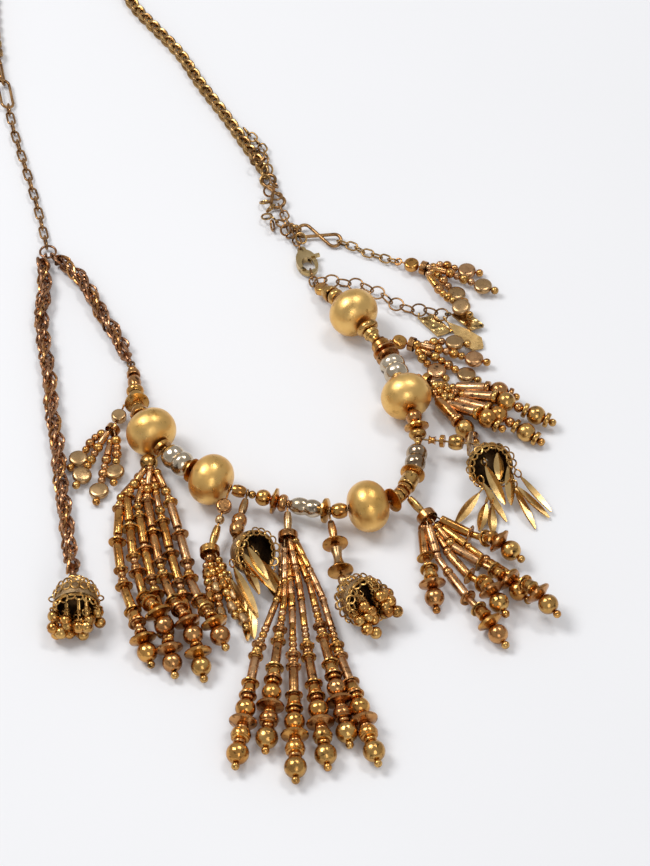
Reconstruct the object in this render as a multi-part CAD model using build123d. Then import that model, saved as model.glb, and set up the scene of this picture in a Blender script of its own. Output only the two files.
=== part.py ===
from build123d import *
import math
import os

# Tassel necklace lying on a flat surface. All sizes in millimetres, +Z up.
# The origin is on the surface, in the middle of the opening for the neck.

# Thread, bores and running gaps
thread_radius = 0.35
bore_radius = 0.6
bead_gap = 0.12
link_gap = 0.15
strand_core_radius = 0.6
core_step = 0.05
core_overlap = 0.4

# Round beads of the main string: outline, length along the thread, diameter
BEADS = {
    "big bead": ("rounded bicone", 14.0, 18.6),
    "coin bead": ("coin", 5.6, 5.6),
    "copper washer": ("drum", 2.0, 5.0),
    "wide washer": ("drum", 2.2, 6.5),
    "copper barrel": ("barrel", 2.9, 8.6),
    "thin ring": ("drum", 1.7, 6.0),
    "spool": ("spool", 3.5, 5.8),
    "gold ring": ("drum", 2.2, 7.3),
    "flat disc": ("lens", 2.5, 9.0),
    "long baroque": ("pebble", 11.4, 9.4),
    "gold ball": ("ball", 5.2, 6.0),
    "copper ring": ("barrel", 3.0, 6.5),
    "neck bead": ("spool", 2.4, 3.2),
    "waisted baroque": ("pebble", 11.2, 7.6),
    "bronze drum": ("drum", 6.0, 6.5),
    "narrow ring": ("drum", 1.8, 5.5),
    "thin disc": ("lens", 1.6, 9.0),
    "oval bead": ("barrel", 5.0, 5.8),
    "slim baroque": ("pebble", 11.9, 6.4),
    "thick disc": ("lens", 2.8, 9.5),
    "round seed": ("ball", 2.6, 3.0),
    "nugget": ("barrel", 4.8, 4.6),
    "broad baroque": ("pebble", 11.8, 9.0),
    "slim ring": ("drum", 1.5, 7.0),
    "long oval": ("barrel", 5.8, 5.0),
    "wire knot": ("barrel", 2.6, 3.4),
    "loop": ("loop", 0.8, 3.3),
    "drop oval": ("barrel", 7.4, 3.1),
    "drop bean": ("pebble", 10.2, 5.4),
    "drop washer": ("drum", 1.6, 4.6),
    "drop disc": ("lens", 1.8, 9.2),
    "drop barrel": ("spool", 7.0, 4.4),
    "drop tube": ("barrel", 3.4, 3.2),
    "washer head": ("drum", 3.2, 7.2),
    "small head": ("drum", 2.4, 5.4),
    "ball head": ("ball", 6.0, 6.6),
}

# Beads of the tassel strands: outline, length along the strand, diameter
STRAND_BEADS = {
    "tip": ("ball", 2.7, 3.0),
    "ball": ("ball", 7.4, 8.0),
    "small ball": ("ball", 6.8, 7.3),
    "ring": ("drum", 1.4, 4.6),
    "ribbed drum": ("barrel", 4.2, 7.3),
    "rondelle": ("lens", 3.8, 10.0),
    "disc": ("lens", 1.2, 6.6),
    "bead": ("ball", 4.6, 5.3),
    "round": ("ball", 3.4, 3.8),
    "seed": ("ball", 2.5, 3.0),
    "washer": ("drum", 1.8, 5.0),
    "tube": ("drum", 11.2, 2.7),
    "bugle": ("drum", 5.4, 1.8),
    "coin": ("coin", 7.1, 7.3),
    "nugget": ("barrel", 4.6, 3.6),
}
coin_thickness = 3.0
flank_share = 0.5
lean_share = 1.3
corner_share = 1.4

# Half outlines as shares of length and radius: a start, then lines or arcs with a middle point
OUTLINES = {
    "rounded bicone": [(-0.5, 0.34), ("arc", -0.33, 0.82, 0.0, 1.0), ("arc", 0.33, 0.82, 0.5, 0.34)],
    "drum": [(-0.5, 0.86), ("arc", -0.46, 0.97, -0.36, 1.0), ("line", 0.36, 1.0), ("arc", 0.46, 0.97, 0.5, 0.86)],
    "barrel": [(-0.5, 0.72), ("arc", 0.0, 1.0, 0.5, 0.72)],
    "spool": [(-0.5, 1.0), ("arc", 0.0, 0.72, 0.5, 1.0)],
    "lens": [(-0.5, 0.4), ("line", -0.14, 1.0), ("line", 0.14, 1.0), ("line", 0.5, 0.4)],
    "pebble": [(-0.5, 0.5), ("arc", -0.27, 1.0, -0.02, 0.84), ("arc", 0.24, 0.98, 0.5, 0.5)],
}

# The main string from the clasp's ring to the rope chain, with the drops' loops in their places
STRING = [
    ("string_beads_right", "coin bead"), ("string_beads_right", "copper washer"),
    ("string_beads_right", "wide washer"), ("string_beads_right", "copper ring"),
    ("string_beads_right", "copper washer"), ("big_bead_1", "big bead"),
    ("string_beads_right", "copper barrel"), ("string_beads_right", "thin ring"),
    ("string_beads_right", "spool"), ("tassel_right_coin", "loop"), ("string_beads_right", "gold ring"),
    ("string_beads_right", "flat disc"), ("string_beads_right", "flat disc"), ("baroque_bead_1", "long baroque"),
    ("tassel_right_tube", "loop"), ("big_bead_2", "big bead"), ("string_beads_right", "gold ball"),
    ("string_beads_right", "flat disc"), ("string_beads_right", "copper ring"), ("bell_leaf_right", "loop"),
    ("string_beads_right", "neck bead"), ("baroque_bead_2", "waisted baroque"),
    ("string_beads_right", "flat disc"), ("string_beads_right", "bronze drum"),
    ("string_beads_right", "narrow ring"), ("tassel_right_low", "loop"), ("string_beads_right", "narrow ring"),
    ("string_beads_right", "narrow ring"), ("string_beads_right", "thin disc"), ("big_bead_3", "big bead"),
    ("string_beads_left", "oval bead"), ("bell_ball_right", "loop"), ("string_beads_left", "flat disc"),
    ("baroque_bead_3", "slim baroque"), ("tassel_centre", "loop"), ("string_beads_left", "copper ring"),
    ("string_beads_left", "thick disc"), ("string_beads_left", "gold ball"), ("string_beads_left", "round seed"),
    ("bell_leaf_left", "loop"), ("string_beads_left", "nugget"), ("tassel_small", "loop"),
    ("big_bead_4", "big bead"), ("string_beads_left", "thin disc"), ("baroque_bead_4", "broad baroque"),
    ("tassel_left_long", "loop"), ("string_beads_left", "slim ring"), ("big_bead_5", "big bead"),
    ("string_beads_left", "gold ring"), ("string_beads_left", "copper washer"),
    ("string_beads_left", "copper washer"), ("string_beads_left", "flat disc"), ("tassel_left_coin", "loop"),
    ("string_beads_left", "copper washer"), ("string_beads_left", "copper ring"),
    ("string_beads_left", "long oval"), ("string_beads_left", "copper washer"), ("string_beads_left", "wire knot"),
]

# Chosen points of the main string, from the clasp's ring to the rope chain
STRING_ROUTE = [
    (57.2, -51.0, 3.0), (59.6, -54.1, 4.6), (63.7, -59.9, 7.4), (71.0, -69.1, 10.5), (76.3, -78.5, 9.0),
    (80.5, -84.8, 8.2), (85.1, -95.0, 8.2), (89.4, -110.4, 9.8), (92.6, -121.2, 8.7), (93.6, -128.3, 6.9),
    (93.2, -135.8, 6.2), (91.5, -144.5, 6.6), (88.2, -153.0, 7.8), (83.2, -159.5, 9.1), (75.3, -161.7, 10.0),
    (66.7, -163.8, 9.1), (60.5, -162.5, 7.7), (51.7, -159.5, 6.2), (42.5, -156.9, 6.0), (35.4, -155.0, 7.0),
    (27.0, -153.7, 8.9), (19.3, -149.6, 9.7), (11.7, -144.8, 9.3), (6.2, -139.6, 8.8), (1.0, -133.9, 9.3),
    (-2.7, -127.0, 10.6), (-6.6, -119.7, 8.8), (-8.2, -112.8, 6.9), (-9.2, -106.6, 5.4), (-9.7, -100.8, 4.4),
    (-10.4, -94.7, 3.6), (-11.2, -90.8, 3.0),
]

# Which point of the string's route each big bead sits on, counted from 0
BIG_BEAD_STOPS = {"big_bead_1": 3, "big_bead_2": 7, "big_bead_3": 14, "big_bead_4": 21, "big_bead_5": 25}

# Neck chain from the junction ring on the left, round the back, to the clasp's eye on the right
NECK_ROUTE = [
    (-45.3, -29.9), (-49.8, -9.4), (-55.3, 11.2), (-61.0, 31.8), (-65.0, 50.0), (-68.6, 68.0), (-72.5, 95.0),
    (-74.0, 125.0), (-70.0, 152.0), (-57.0, 170.0), (-41.0, 168.0), (-31.0, 150.0), (-25.5, 126.0),
    (-17.7, 104.1), (-6.9, 88.2), (2.7, 74.5), (11.2, 57.5), (21.0, 40.4), (29.8, 23.5), (36.4, 11.0),
    (41.5, -5.0), (46.4, -18.0),
]

# Links of the chains: wire radius, width between wire centres, pitch, first and second roll in degrees
LINKS = {
    "cable": (0.42, 2.7, 5.25, 98.0, 12.0),
    "brass ring": (0.42, 3.0, 4.0, 100.0, 10.0),
    "thick link": (0.58, 4.6, 13.0, 14.0, 72.0),
    "back": (0.6, 3.1, 5.35, -45.0, 45.0),
    "join": (0.36, 3.0, 3.6, 110.0, 20.0),
    "ring": (0.35, 5.0, 4.5, 104.0, 14.0),
    "clasp ring": (0.36, 3.0, 3.2, 90.0, 20.0),
}
cable_link_count = 14
thick_link_count = 2
join_link_count = 7
side_link = 3

# Links bent into a figure of eight: wire radius, loop radius, distance between loop centres
eight_wire_radius = 0.65
eight_loop_radius = 2.6
eight_loop_distance = 12.6
eight_play = 0.5

# Side chain: its ring on a joining link, then the points of the second figure of eight and the rings after it
side_ring_radius = 1.7
side_ring_wire = 0.36
side_rise = 2.1
side_end_height = 2.2
SIDE_ROUTE = [(68.9, -28.4), (75.0, -32.3), (80.0, -34.2), (86.0, -37.2)]
RING_ROUTE = [
    (60.5, -47.4), (66.8, -48.8), (73.5, -50.0), (80.5, -54.4), (87.2, -60.2), (92.5, -62.4), (99.0, -62.8),
    (105.2, -65.8),
]
ring_end_height = 2.9
ring_chain_angle = 105
TANGLE_ROUTE = [(28.6, 32.9), (31.8, 28.5), (35.5, 23.3), (37.7, 18.1)]

# Rope chains: radius and the chosen points of their run on the surface
rope_radius = 2.3
ROPE_SIDE_ROUTE = [
    (-40.4, -37.3), (-36.6, -41.0), (-31.2, -47.9), (-26.6, -57.0), (-22.3, -66.2), (-17.6, -74.8),
    (-13.4, -85.2),
]
ROPE_HANGING_ROUTE = [
    (-46.6, -38.0), (-45.6, -44.2), (-44.9, -53.1), (-45.7, -64.7), (-44.4, -76.1), (-42.7, -87.4), (-40.9, -99.3),
    (-39.6, -111.6), (-37.6, -124.0), (-36.2, -134.8), (-34.6, -146.9), (-32.9, -159.4), (-31.0, -171.2),
    (-29.9, -179.0), (-28.9, -186.6),
]
rope_end_lift = 2.4
rope_bend_share = 0.45
rope_neck_length = 2.0
rope_neck_radius = 1.0
rope_loop_radius = 1.25
rope_loop_wire = 0.45

# Ring where the cable chain and both rope chains meet
junction_radius = 3.0
junction_wire = 0.45
junction_height = 2.15

# Drops: bare stem below the loop and above the head or bell, then the loose beads on the stem
DROPS = {
    "tassel_right_coin": (3.4, 0.0, ["coin bead"]),
    "tassel_right_tube": (3.2, 0.0, ["narrow ring"]),
    "bell_leaf_right": (0.6, 2.4, ["neck bead", "drop washer", "oval bead", "drop disc"]),
    "tassel_right_low": (1.2, 0.0, ["drop oval"]),
    "bell_ball_right": (1.6, 0.6, ["drop oval", "drop disc", "drop barrel", "drop disc", "drop tube"]),
    "tassel_centre": (0.8, 0.0, ["drop oval"]),
    "bell_leaf_left": (1.6, 1.2, ["drop oval", "drop bean"]),
    "tassel_small": (1.6, 0.0, ["coin bead", "wire knot", "drop oval"]),
    "tassel_left_long": (0.0, 0.0, []),
    "tassel_left_coin": (3.4, 0.0, ["coin bead"]),
    "tassel_top_coin": (0.0, 0.0, ["coin bead"]),
    "bell_rope": (0.0, 0.0, []),
}

# Drops whose stem first goes straight out from the string and then turns
BENT_STEMS = ("tassel_right_coin", "tassel_right_tube", "tassel_left_coin")

# Tassel heads: the bead that holds the strands, its middle, its height, and the way its strands go
HEADS = {
    "tassel_centre": ("washer head", (46.9, -171.9), 4.4, -88.0),
    "tassel_left_long": ("ball head", (-3.4, -138.0), 4.8, -84.0),
    "tassel_right_low": ("washer head", (96.3, -162.8), 4.4, -58.0),
    "tassel_right_tube": ("small head", (97.0, -98.9), 5.0, -36.0),
    "tassel_right_coin": ("small head", (92.1, -81.0), 4.6, -24.0),
    "tassel_top_coin": ("small head", (97.2, -41.8), 3.4, -24.0),
    "tassel_left_coin": ("small head", (-17.0, -121.8), 4.0, -120.0),
    "tassel_small": ("washer head", (19.3, -178.5), 4.4, -86.0),
}
strand_row_height = 1.27
strand_row_spacing = 1.63
knee_height = 3.6
floor_gap = 0.3

# Kinds of strand: beads from the tip upwards, the second one placed by the route, and beads that fill the rest
STRAND_KINDS = {
    "long": (["tip", "ball", "ring", "ribbed drum", "ring", "rondelle", "small ball", "ring", "disc", "bead", "disc",
              "tube", "washer", "round", "washer", "seed", "seed", "seed"], ["bugle", "bugle", "seed"]),
    "crowded": (["tip", "small ball", "rondelle", "ring", "round", "disc", "bead", "disc", "tube", "disc", "round",
                 "seed", "washer", "tube", "disc", "seed"], ["seed"]),
    "low": (["tip", "small ball", "rondelle", "bead", "disc", "bugle", "disc"], ["tube", "round", "bugle", "seed"]),
    "two balls": (["tip", "washer", "small ball", "washer", "round", "small ball", "washer", "tube"],
                  ["seed", "round"]),
    "one ball": (["tip", "washer", "small ball", "washer", "tube"], ["seed", "round"]),
    "coin": (["tip", "coin", "seed", "round"], ["seed", "round", "bugle"]),
    "nuggets": (["tip", "nugget", "seed", "round", "nugget"], ["seed", "round"]),
}

# Strands of each tassel: kind, lift of the lower end, then the points below the head that the strand runs through
STRANDS = {
    "tassel_centre": [
        ("long", 0, [(44.6, -194.4), (36.4, -221.6), (30.4, -265.3)]),
        ("long", 0, [(45.8, -198.9), (43.4, -220.7), (40.2, -258.8)]),
        ("long", 0, [(48.5, -201.1), (50.0, -271.0)]),
        ("long", 0, [(51.2, -194.4), (54.1, -222.9), (60.2, -265.7)]),
        ("long", 0, [(54.6, -192.2), (59.5, -216.4), (67.4, -256.5)]),
        ("long", 0, [(58.8, -197.0), (65.0, -222.9), (76.6, -264.3)]),
    ],
    "tassel_left_long": [
        ("crowded", 0, [(-13.3, -153.4), (-13.6, -176.6), (-10.2, -195.3), (-1.6, -222.2)]),
        ("crowded", 4, [(-10.9, -152.5), (-7.9, -179.3), (-3.4, -198.4), (4.2, -213.7)]),
        ("crowded", 0, [(-7.2, -154.7), (-2.8, -182.0), (1.5, -200.2), (7.2, -226.6)]),
        ("crowded", 3, [(-3.7, -153.8), (0.8, -179.7), (5.6, -197.5), (14.2, -216.9)]),
        ("crowded", 0, [(-0.1, -153.8), (6.0, -181.1), (9.5, -194.4), (17.2, -228.2)]),
        ("crowded", 3, [(4.0, -152.8), (10.8, -178.8), (13.2, -194.7), (23.6, -217.2)]),
    ],
    "tassel_right_low": [
        ("low", 0, [(93.7, -174.3), (96.0, -182.0), (98.3, -198.3)]),
        ("low", 0, [(99.6, -180.2), (107.7, -195.3), (120.0, -214.3)]),
        ("low", 2, [(101.4, -172.9), (106.8, -185.7), (114.8, -191.7), (120.6, -202.1)]),
        ("low", 0, [(106.8, -178.3), (116.5, -183.9), (127.8, -195.3)]),
        ("low", 4, [(109.8, -174.6), (121.7, -186.4), (137.6, -204.3)]),
        ("low", 2, [(105.6, -167.0), (116.4, -171.9), (125.4, -179.0)]),
    ],
    "tassel_right_tube": [
        ("one ball", 2, [(108.7, -101.4), (127.6, -106.1)]),
        ("two balls", 1, [(109.5, -104.8), (124.5, -110.6), (140.6, -117.2)]),
        ("two balls", 0, [(107.9, -107.6), (123.7, -116.6), (136.4, -125.2)]),
        ("one ball", 3, [(106.0, -110.0), (122.4, -121.4)]),
        ("one ball", 0, [(102.6, -110.5), (113.2, -124.7)]),
    ],
    "tassel_right_coin": [
        ("coin", 2, [(100.4, -78.6), (107.9, -79.6)]),
        ("coin", 1, [(102.5, -82.8), (115.0, -86.8)]),
        ("coin", 0, [(101.8, -87.3), (112.0, -93.6)]),
        ("coin", 1, [(95.2, -86.6), (97.0, -90.0), (101.0, -92.7)]),
    ],
    "tassel_top_coin": [
        ("coin", 0, [(103.6, -39.6), (113.4, -41.8)]),
        ("coin", 1, [(104.2, -43.2), (119.2, -50.5)]),
        ("coin", 0, [(102.6, -45.6), (109.2, -53.6)]),
        ("coin", 3.6, [(99.3, -47.2), (104.0, -55.0), (110.7, -63.4)]),
    ],
    "tassel_left_coin": [
        ("coin", 0, [(-23.1, -124.4), (-29.1, -133.7)]),
        ("coin", 1, [(-21.4, -128.2), (-27.4, -142.3)]),
        ("coin", 0, [(-18.4, -132.3), (-21.1, -148.7)]),
        ("coin", 1, [(-15.0, -130.0), (-15.6, -140.6)]),
    ],
    "tassel_small": [
        ("nuggets", 0.6, [(19.0, -189.4), (19.6, -197.9)]),
        ("nuggets", 0, [(21.4, -191.5), (23.6, -204.3)]),
        ("nuggets", 1, [(23.8, -190.0), (27.6, -202.4)]),
        ("nuggets", 0.3, [(26.2, -191.3), (31.4, -207.0)]),
    ],
}

# Bells: outer radius, wall, and for each one its apex heading and pitch, its rim's place and its drops
bell_radius = 8.2
bell_wall = 1.0
bell_skirt = 1.6
bell_ring_radius = 0.45
BELLS = {
    "bell_leaf_right": (102, 4, (119.0, -142.4)),
    "bell_ball_right": (136, -12, (73.0, -203.4)),
    "bell_leaf_left": (138, 6, (34.6, -182.6)),
    "bell_rope": (92, 0, (-26.6, -204.6)),
}

# Leaves and small balls of the bells: heading, length as a share, sideways start on the rim as a share
leaf_length = 20.0
leaf_width = 4.2
leaf_thickness = 0.7
leaf_fold = 22.0
leaf_eye = 0.9
small_ball_radius = 1.9
dangle_wire = 0.4
bell_stem_turn = 0.8
bell_knot_radius = 0.9
LEAVES = {
    "bell_leaf_right": [
        (-122, 0.95, -0.9, 0), (-106, 0.9, -0.6, 2), (-92, 0.9, -0.25, 0), (-78, 1.0, 0.0, 3), (-68, 0.9, 0.3, 0),
        (-60, 0.95, 0.55, 2), (-46, 1.0, 0.85, 0),
    ],
    "bell_leaf_left": [
        (-82, 0.95, -0.9, 0), (-76, 0.95, -0.6, 2), (-78, 0.8, -0.25, 0), (-80, 0.75, 0.05, 3), (-84, 0.75, 0.4, 0),
        (-88, 0.6, 0.75, 2),
    ],
}
BALLS = {
    "bell_ball_right": [
        (-104, 0.9, -0.95, 0), (-88, 1.1, -0.6, 0), (-72, 1.0, -0.3, 2), (-58, 1.1, 0.0, 0), (-40, 0.9, 0.3, 2),
        (-20, 0.9, 0.6, 0), (0, 0.9, 0.95, 0),
    ],
    "bell_rope": [
        (-138, 1.0, -0.95, 0), (-120, 1.1, -0.6, 0), (-104, 0.9, -0.3, 2), (-90, 1.2, 0.0, 0), (-74, 0.9, 0.3, 2),
        (-60, 1.1, 0.6, 0), (-42, 1.0, 0.95, 0),
    ],
}
dangle_length = 10.0

# Clasp: a hooked body with an eye, and the lever that closes its mouth
CLASP_EYE = (51.2, -32.0)
clasp_heading = -72.0
clasp_length = 13.6
clasp_width = 8.0
clasp_nose = 2.2
clasp_thickness = 2.8
clasp_rise = 0.8
clasp_arm = 1.7
clasp_tip_length = 2.4
clasp_tip_thickness = 1.8
clasp_eye_radius = 0.9
clasp_eye_wall = 0.8
clasp_eye_thickness = 1.3
clasp_eye_lap = 0.4
hook_play = 0.5
lever_thickness = 1.1
lever_gap = 0.15
lever_pin_radius = 0.5
lever_bore_radius = 0.56
swing_size = 1.7

# Charms on the ring chain: corner shares of length and width, round the outline from the eye
charm_thickness = 1.0
charm_eye_radius = 1.0
charm_eye_wire = 0.35
charm_stem = 2.4
DIAMOND = [(0.0, 0.0), (0.32, 0.5), (1.0, 0.1), (0.72, -0.42)]
SPADE = [(0.0, 0.0), (0.4, 0.36), (0.8, 0.5), (1.0, 0.12), (0.88, -0.42), (0.42, -0.36)]

# Each charm: outline, its ring counted from the chain's end, angle on it, rise, heading, pitch, length, width
CHARMS = {
    "charm_diamond_1": (DIAMOND, 3, -95, -0.3, -28, -4, 13.6, 9.0),
    "charm_diamond_2": (DIAMOND, 1, 28, -0.3, -25, -4, 13.6, 8.2),
    "charm_leaf": (SPADE, 1, -30, -0.6, -44, -3, 18.0, 7.4),
}

UP = Vector(0, 0, 1)


def heading(degrees, pitch=0):
    """Unit vector at a plan heading, pitched up from the surface."""
    flat = math.cos(math.radians(pitch))
    angle = math.radians(degrees)
    return Vector(flat * math.cos(angle), flat * math.sin(angle), math.sin(math.radians(pitch)))


def place(shape, origin, axis, roll=0):
    """Put a shape made along +Z on an axis, with its +X level when roll is 0."""
    level = UP.cross(axis)
    if level.length < 1e-6:
        level = Vector(1, 0, 0)
    frame = Plane(origin=origin, x_dir=level, z_dir=axis)
    return frame.location * Rot(0, 0, roll) * shape


def rod(start, end, radius):
    """Round bar between two points."""
    span = end - start
    bar = Cylinder(radius, span.length, align=(Align.CENTER, Align.CENTER, Align.MIN))
    return place(bar, start, span.normalized())


def smooth_curve(points, steps=24):
    """Dense points along a smooth curve through the chosen ones."""
    points = [Vector(*p) for p in points]
    padded = [points[0] * 2 - points[1]] + points + [points[-1] * 2 - points[-2]]
    dense = []
    for a, b, c, d in zip(padded, padded[1:], padded[2:], padded[3:]):
        for step in range(steps):
            t = step / steps
            dense.append((b * 2 + (c - a) * t + (a * 2 - b * 5 + c * 4 - d) * t**2
                          + (b * 3 - a - c * 3 + d) * t**3) * 0.5)
    return dense + [points[-1]]


def curve_length(curve):
    return sum((b - a).length for a, b in zip(curve, curve[1:]))


def points_at(curve, stations):
    """Points at rising distances along a dense curve, past its end on its last direction."""
    found = []
    travelled = 0.0
    index = 0
    for station in stations:
        while index < len(curve) - 2 and travelled + (curve[index + 1] - curve[index]).length < station:
            travelled += (curve[index + 1] - curve[index]).length
            index += 1
        step = curve[index + 1] - curve[index]
        found.append(curve[index] + step.normalized() * (station - travelled))
    return found


def running(values, start=0.0):
    """Running sum with its start."""
    sums = [start]
    for value in values:
        sums.append(sums[-1] + value)
    return sums


def outline_edges(outline, length, radius, start):
    """Edges of one bead's half outline in the XZ plane, with its first and last points."""
    if outline == "ball":
        end_radius = max(math.sqrt(max(radius**2 - (length / 2) ** 2, 0)), 0.3 * radius)
        shape = [(-0.5, end_radius / radius), ("arc", 0.0, 1.0, 0.5, end_radius / radius)]
    else:
        shape = OUTLINES[outline]

    def at(z_share, r_share):
        return Vector(r_share * radius, 0, start + (z_share + 0.5) * length)

    first = last = at(*shape[0])
    edges = []
    for piece in shape[1:]:
        end = at(*piece[-2:])
        if piece[0] == "arc":
            edges.append(ThreePointArc(last, at(piece[1], piece[2]), end))
        else:
            edges.append(Line(last, end))
        last = end
    return edges, first, last


def turned(outline, length, radius, bore):
    """Bored bead of revolution along +Z, centred on its length."""
    edges, first, last = outline_edges(outline, length, radius, -length / 2)
    low, high = Vector(bore, 0, first.Z), Vector(bore, 0, last.Z)
    face = make_face(edges + [Line(last, high), Line(high, low), Line(low, first)])
    return revolve(face, axis=Axis.Z)


def coin(diameter, bore=0):
    """Flat round bead with its thread across it, along +Z, and its faces towards +-Y."""
    disc = Rot(90, 0, 0) * Cylinder(diameter / 2, coin_thickness)
    disc = fillet(disc.edges().filter_by(GeomType.CIRCLE), coin_thickness * 0.28)
    if bore:
        disc -= Cylinder(bore, diameter * 1.2)
    return disc


def make_bead(kind, bore=bore_radius):
    outline, length, diameter = BEADS[kind]
    if outline == "coin":
        return coin(diameter, bore)
    return turned(outline, length, diameter / 2, bore)


def setback(kind, radius):
    """How far behind a bead's end its surface reaches a radius, a little less for its round flank."""
    outline, length, diameter = BEADS[kind]
    half = diameter / 2
    if radius > half:
        return length
    if outline in ("ball", "coin"):
        return max(length / 2 - math.sqrt(half**2 - radius**2), 0)
    if outline == "loop":
        return 0
    profile = [OUTLINES[outline][0]]
    for piece in OUTLINES[outline][1:]:
        profile += [(piece[1], piece[2])] + ([(piece[3], piece[4])] if piece[0] == "arc" else [])
    for (z_a, r_a), (z_b, r_b) in zip(profile, profile[1:]):
        if r_b * half >= radius:
            share = max(radius / half - r_a, 0) / max(r_b - r_a, 1e-6)
            return (z_a + (z_b - z_a) * share + 0.5) * length * flank_share
    return length / 2


def lean(kind_a, kind_b, bend):
    """Extra length that two neighbouring beads need between them when the string bends there."""
    largest = min(BEADS[kind_a][2], BEADS[kind_b][2]) / 2
    radii = [largest * step / 8 for step in range(1, 9)]
    needs = [2 * math.tan(bend / 2) * radius - setback(kind_a, radius) - setback(kind_b, radius) for radius in radii]
    return max(needs + [0.0]) * lean_share


def station(curve, index, steps=24):
    """Distance along a dense curve to one of its chosen points."""
    return curve_length(curve[:index * steps + 1])


def stretch_joints(lengths, leans, low, high):
    """Joints and gaps between the beads of one stretch, with its spare length shared out between them."""
    spare = (high - low - sum(lengths) - sum(leans)) / len(leans)
    if spare < bead_gap:
        print("string too tight between", round(low, 1), round(high, 1), round(spare, 2))
    gaps = [spare + lean for lean in leans]
    starts = running([length + (a + b) / 2 for length, a, b in zip(lengths, gaps, gaps[1:])], low + gaps[0] / 2)
    return starts, gaps


def joint_stations(curve, leans):
    """Distances along the string to the joints of its beads, and their gaps; big beads keep their places."""
    stops = [station(curve, BIG_BEAD_STOPS[node]) for node, _ in STRING if node in BIG_BEAD_STOPS]
    half = BEADS["big bead"][1] / 2
    lows = [0.0] + [stop + half for stop in stops]
    highs = [stop - half for stop in stops] + [curve_length(curve)]
    joints = []
    gaps = []
    stretch = []
    for _, kind in STRING + [("", "big bead")]:
        if kind != "big bead":
            stretch.append(BEADS[kind][1])
            continue
        own_leans = leans[len(joints):len(joints) + len(stretch) + 1]
        own_joints, own_gaps = stretch_joints(stretch, own_leans, lows.pop(0), highs.pop(0))
        joints += own_joints
        gaps += own_gaps
        stretch = []
    return joints, gaps


def string_joints():
    """Points between neighbouring beads of the string, and their gaps, so that bent neighbours stay clear."""
    curve = smooth_curve(STRING_ROUTE)
    kinds = [kind for _, kind in STRING]
    leans = [0.0] * (len(kinds) + 1)
    for _ in range(3):
        stations, gaps = joint_stations(curve, leans)
        joints = points_at(curve, stations)
        for i in range(1, len(kinds)):
            bend = math.radians((joints[i] - joints[i - 1]).get_angle(joints[i + 1] - joints[i]))
            leans[i] = lean(kinds[i - 1], kinds[i], bend)
    return joints, gaps


def bend_radii(points, share):
    """Largest tangent arcs at the corners of a route of straight runs."""
    radii = []
    for a, b, c in zip(points, points[1:], points[2:]):
        turn = math.radians((b - a).get_angle(c - b))
        radii.append(share * min((b - a).length, (c - b).length) / math.tan(turn / 2))
    return radii


def tube(points, radius, share=rope_bend_share):
    """Round tube along straight runs joined by tangent arcs."""
    path = FilletPolyline(*points, radius=bend_radii(points, share))
    profile = Plane(origin=path @ 0, z_dir=path % 0) * Circle(radius)
    return sweep(profile, path=path)


def arc_tube(centre, start, normal, sweep_angle, wire):
    """Round wire bent about a centre, from a start point, by an angle."""
    tangent = normal.cross(start - centre).normalized()
    profile = Plane(origin=start, z_dir=tangent) * Circle(wire)
    return revolve(profile, axis=Axis(centre, normal), revolution_arc=sweep_angle)


def oval_link(length, width, wire):
    """Oval link in the XZ plane: length and width between wire centres, its long side along Z."""
    radius = width / 2
    if length - width < 0.05:
        return Rot(90, 0, 0) * Torus(length / 2, wire)
    half = (length - width) / 2
    turn = Vector(0, -1, 0)
    pieces = [
        arc_tube(Vector(0, 0, half), Vector(radius, 0, half), turn, 180, wire),
        arc_tube(Vector(0, 0, -half), Vector(-radius, 0, -half), turn, 180, wire),
        rod(Vector(radius, 0, -half), Vector(radius, 0, half), wire),
        rod(Vector(-radius, 0, -half), Vector(-radius, 0, half), wire),
    ]
    return pieces[0].fuse(*pieces[1:])


def eight_link(loop_radius, distance, wire):
    """Link bent into a figure of eight in the XZ plane, its loops on the Z axis."""
    reach = distance / 2
    lean = math.acos(loop_radius / reach)
    side, drop = loop_radius * math.sin(lean), loop_radius * math.cos(lean)
    turn = Vector(0, -1, 0)
    top_right, top_left = Vector(side, 0, reach - drop), Vector(-side, 0, reach - drop)
    low_right, low_left = Vector(side, 0, drop - reach), Vector(-side, 0, drop - reach)
    around = 360 - 2 * math.degrees(lean)
    pieces = [
        arc_tube(Vector(0, 0, reach), top_right, turn, around, wire),
        arc_tube(Vector(0, 0, -reach), low_left, turn, around, wire),
        rod(low_left, top_right, wire),
        rod(low_right, top_left, wire),
    ]
    return pieces[0].fuse(*pieces[1:])


link_store = {}


def link_shape(length, width, wire):
    """Oval link, made once for each size."""
    key = (round(length, 2), width, wire)
    if key not in link_store:
        link_store[key] = oval_link(*key)
    return link_store[key]


def roll_height(width, wire, roll):
    """Height of a link's centre when its wire touches the surface."""
    return width / 2 * abs(math.sin(math.radians(roll))) + wire


def chain_frames(curve, items):
    """Links along a curve, no lower than it: name, middle, axis, roll and length between end wires.

    Each item is a link's name, its pitch and its roll.
    """
    joints = points_at(curve, running([pitch for _, pitch, _ in items]))
    heights = [roll_height(link_width(name), link_wire(name), roll) for name, _, roll in items]
    joint_heights = [max(pair) for pair in zip(heights[:1] + heights, heights + heights[-1:])]
    joints = [Vector(p.X, p.Y, max(h, p.Z)) for p, h in zip(joints, joint_heights)]
    wires = [link_wire(name) for name, _, _ in items]
    frames = []
    for i, (name, pitch, roll) in enumerate(items):
        before = wires[max(i - 1, 0)]
        after = wires[min(i + 1, len(items) - 1)]
        axis = (joints[i + 1] - joints[i]).normalized()
        centre = (joints[i] + joints[i + 1]) * 0.5 + axis * ((after - before) / 2)
        play = link_gap + (eight_play if name == "eight" else 0)
        frames.append((name, centre, axis, roll, (joints[i + 1] - joints[i]).length + before + after + play))
    return frames


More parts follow.
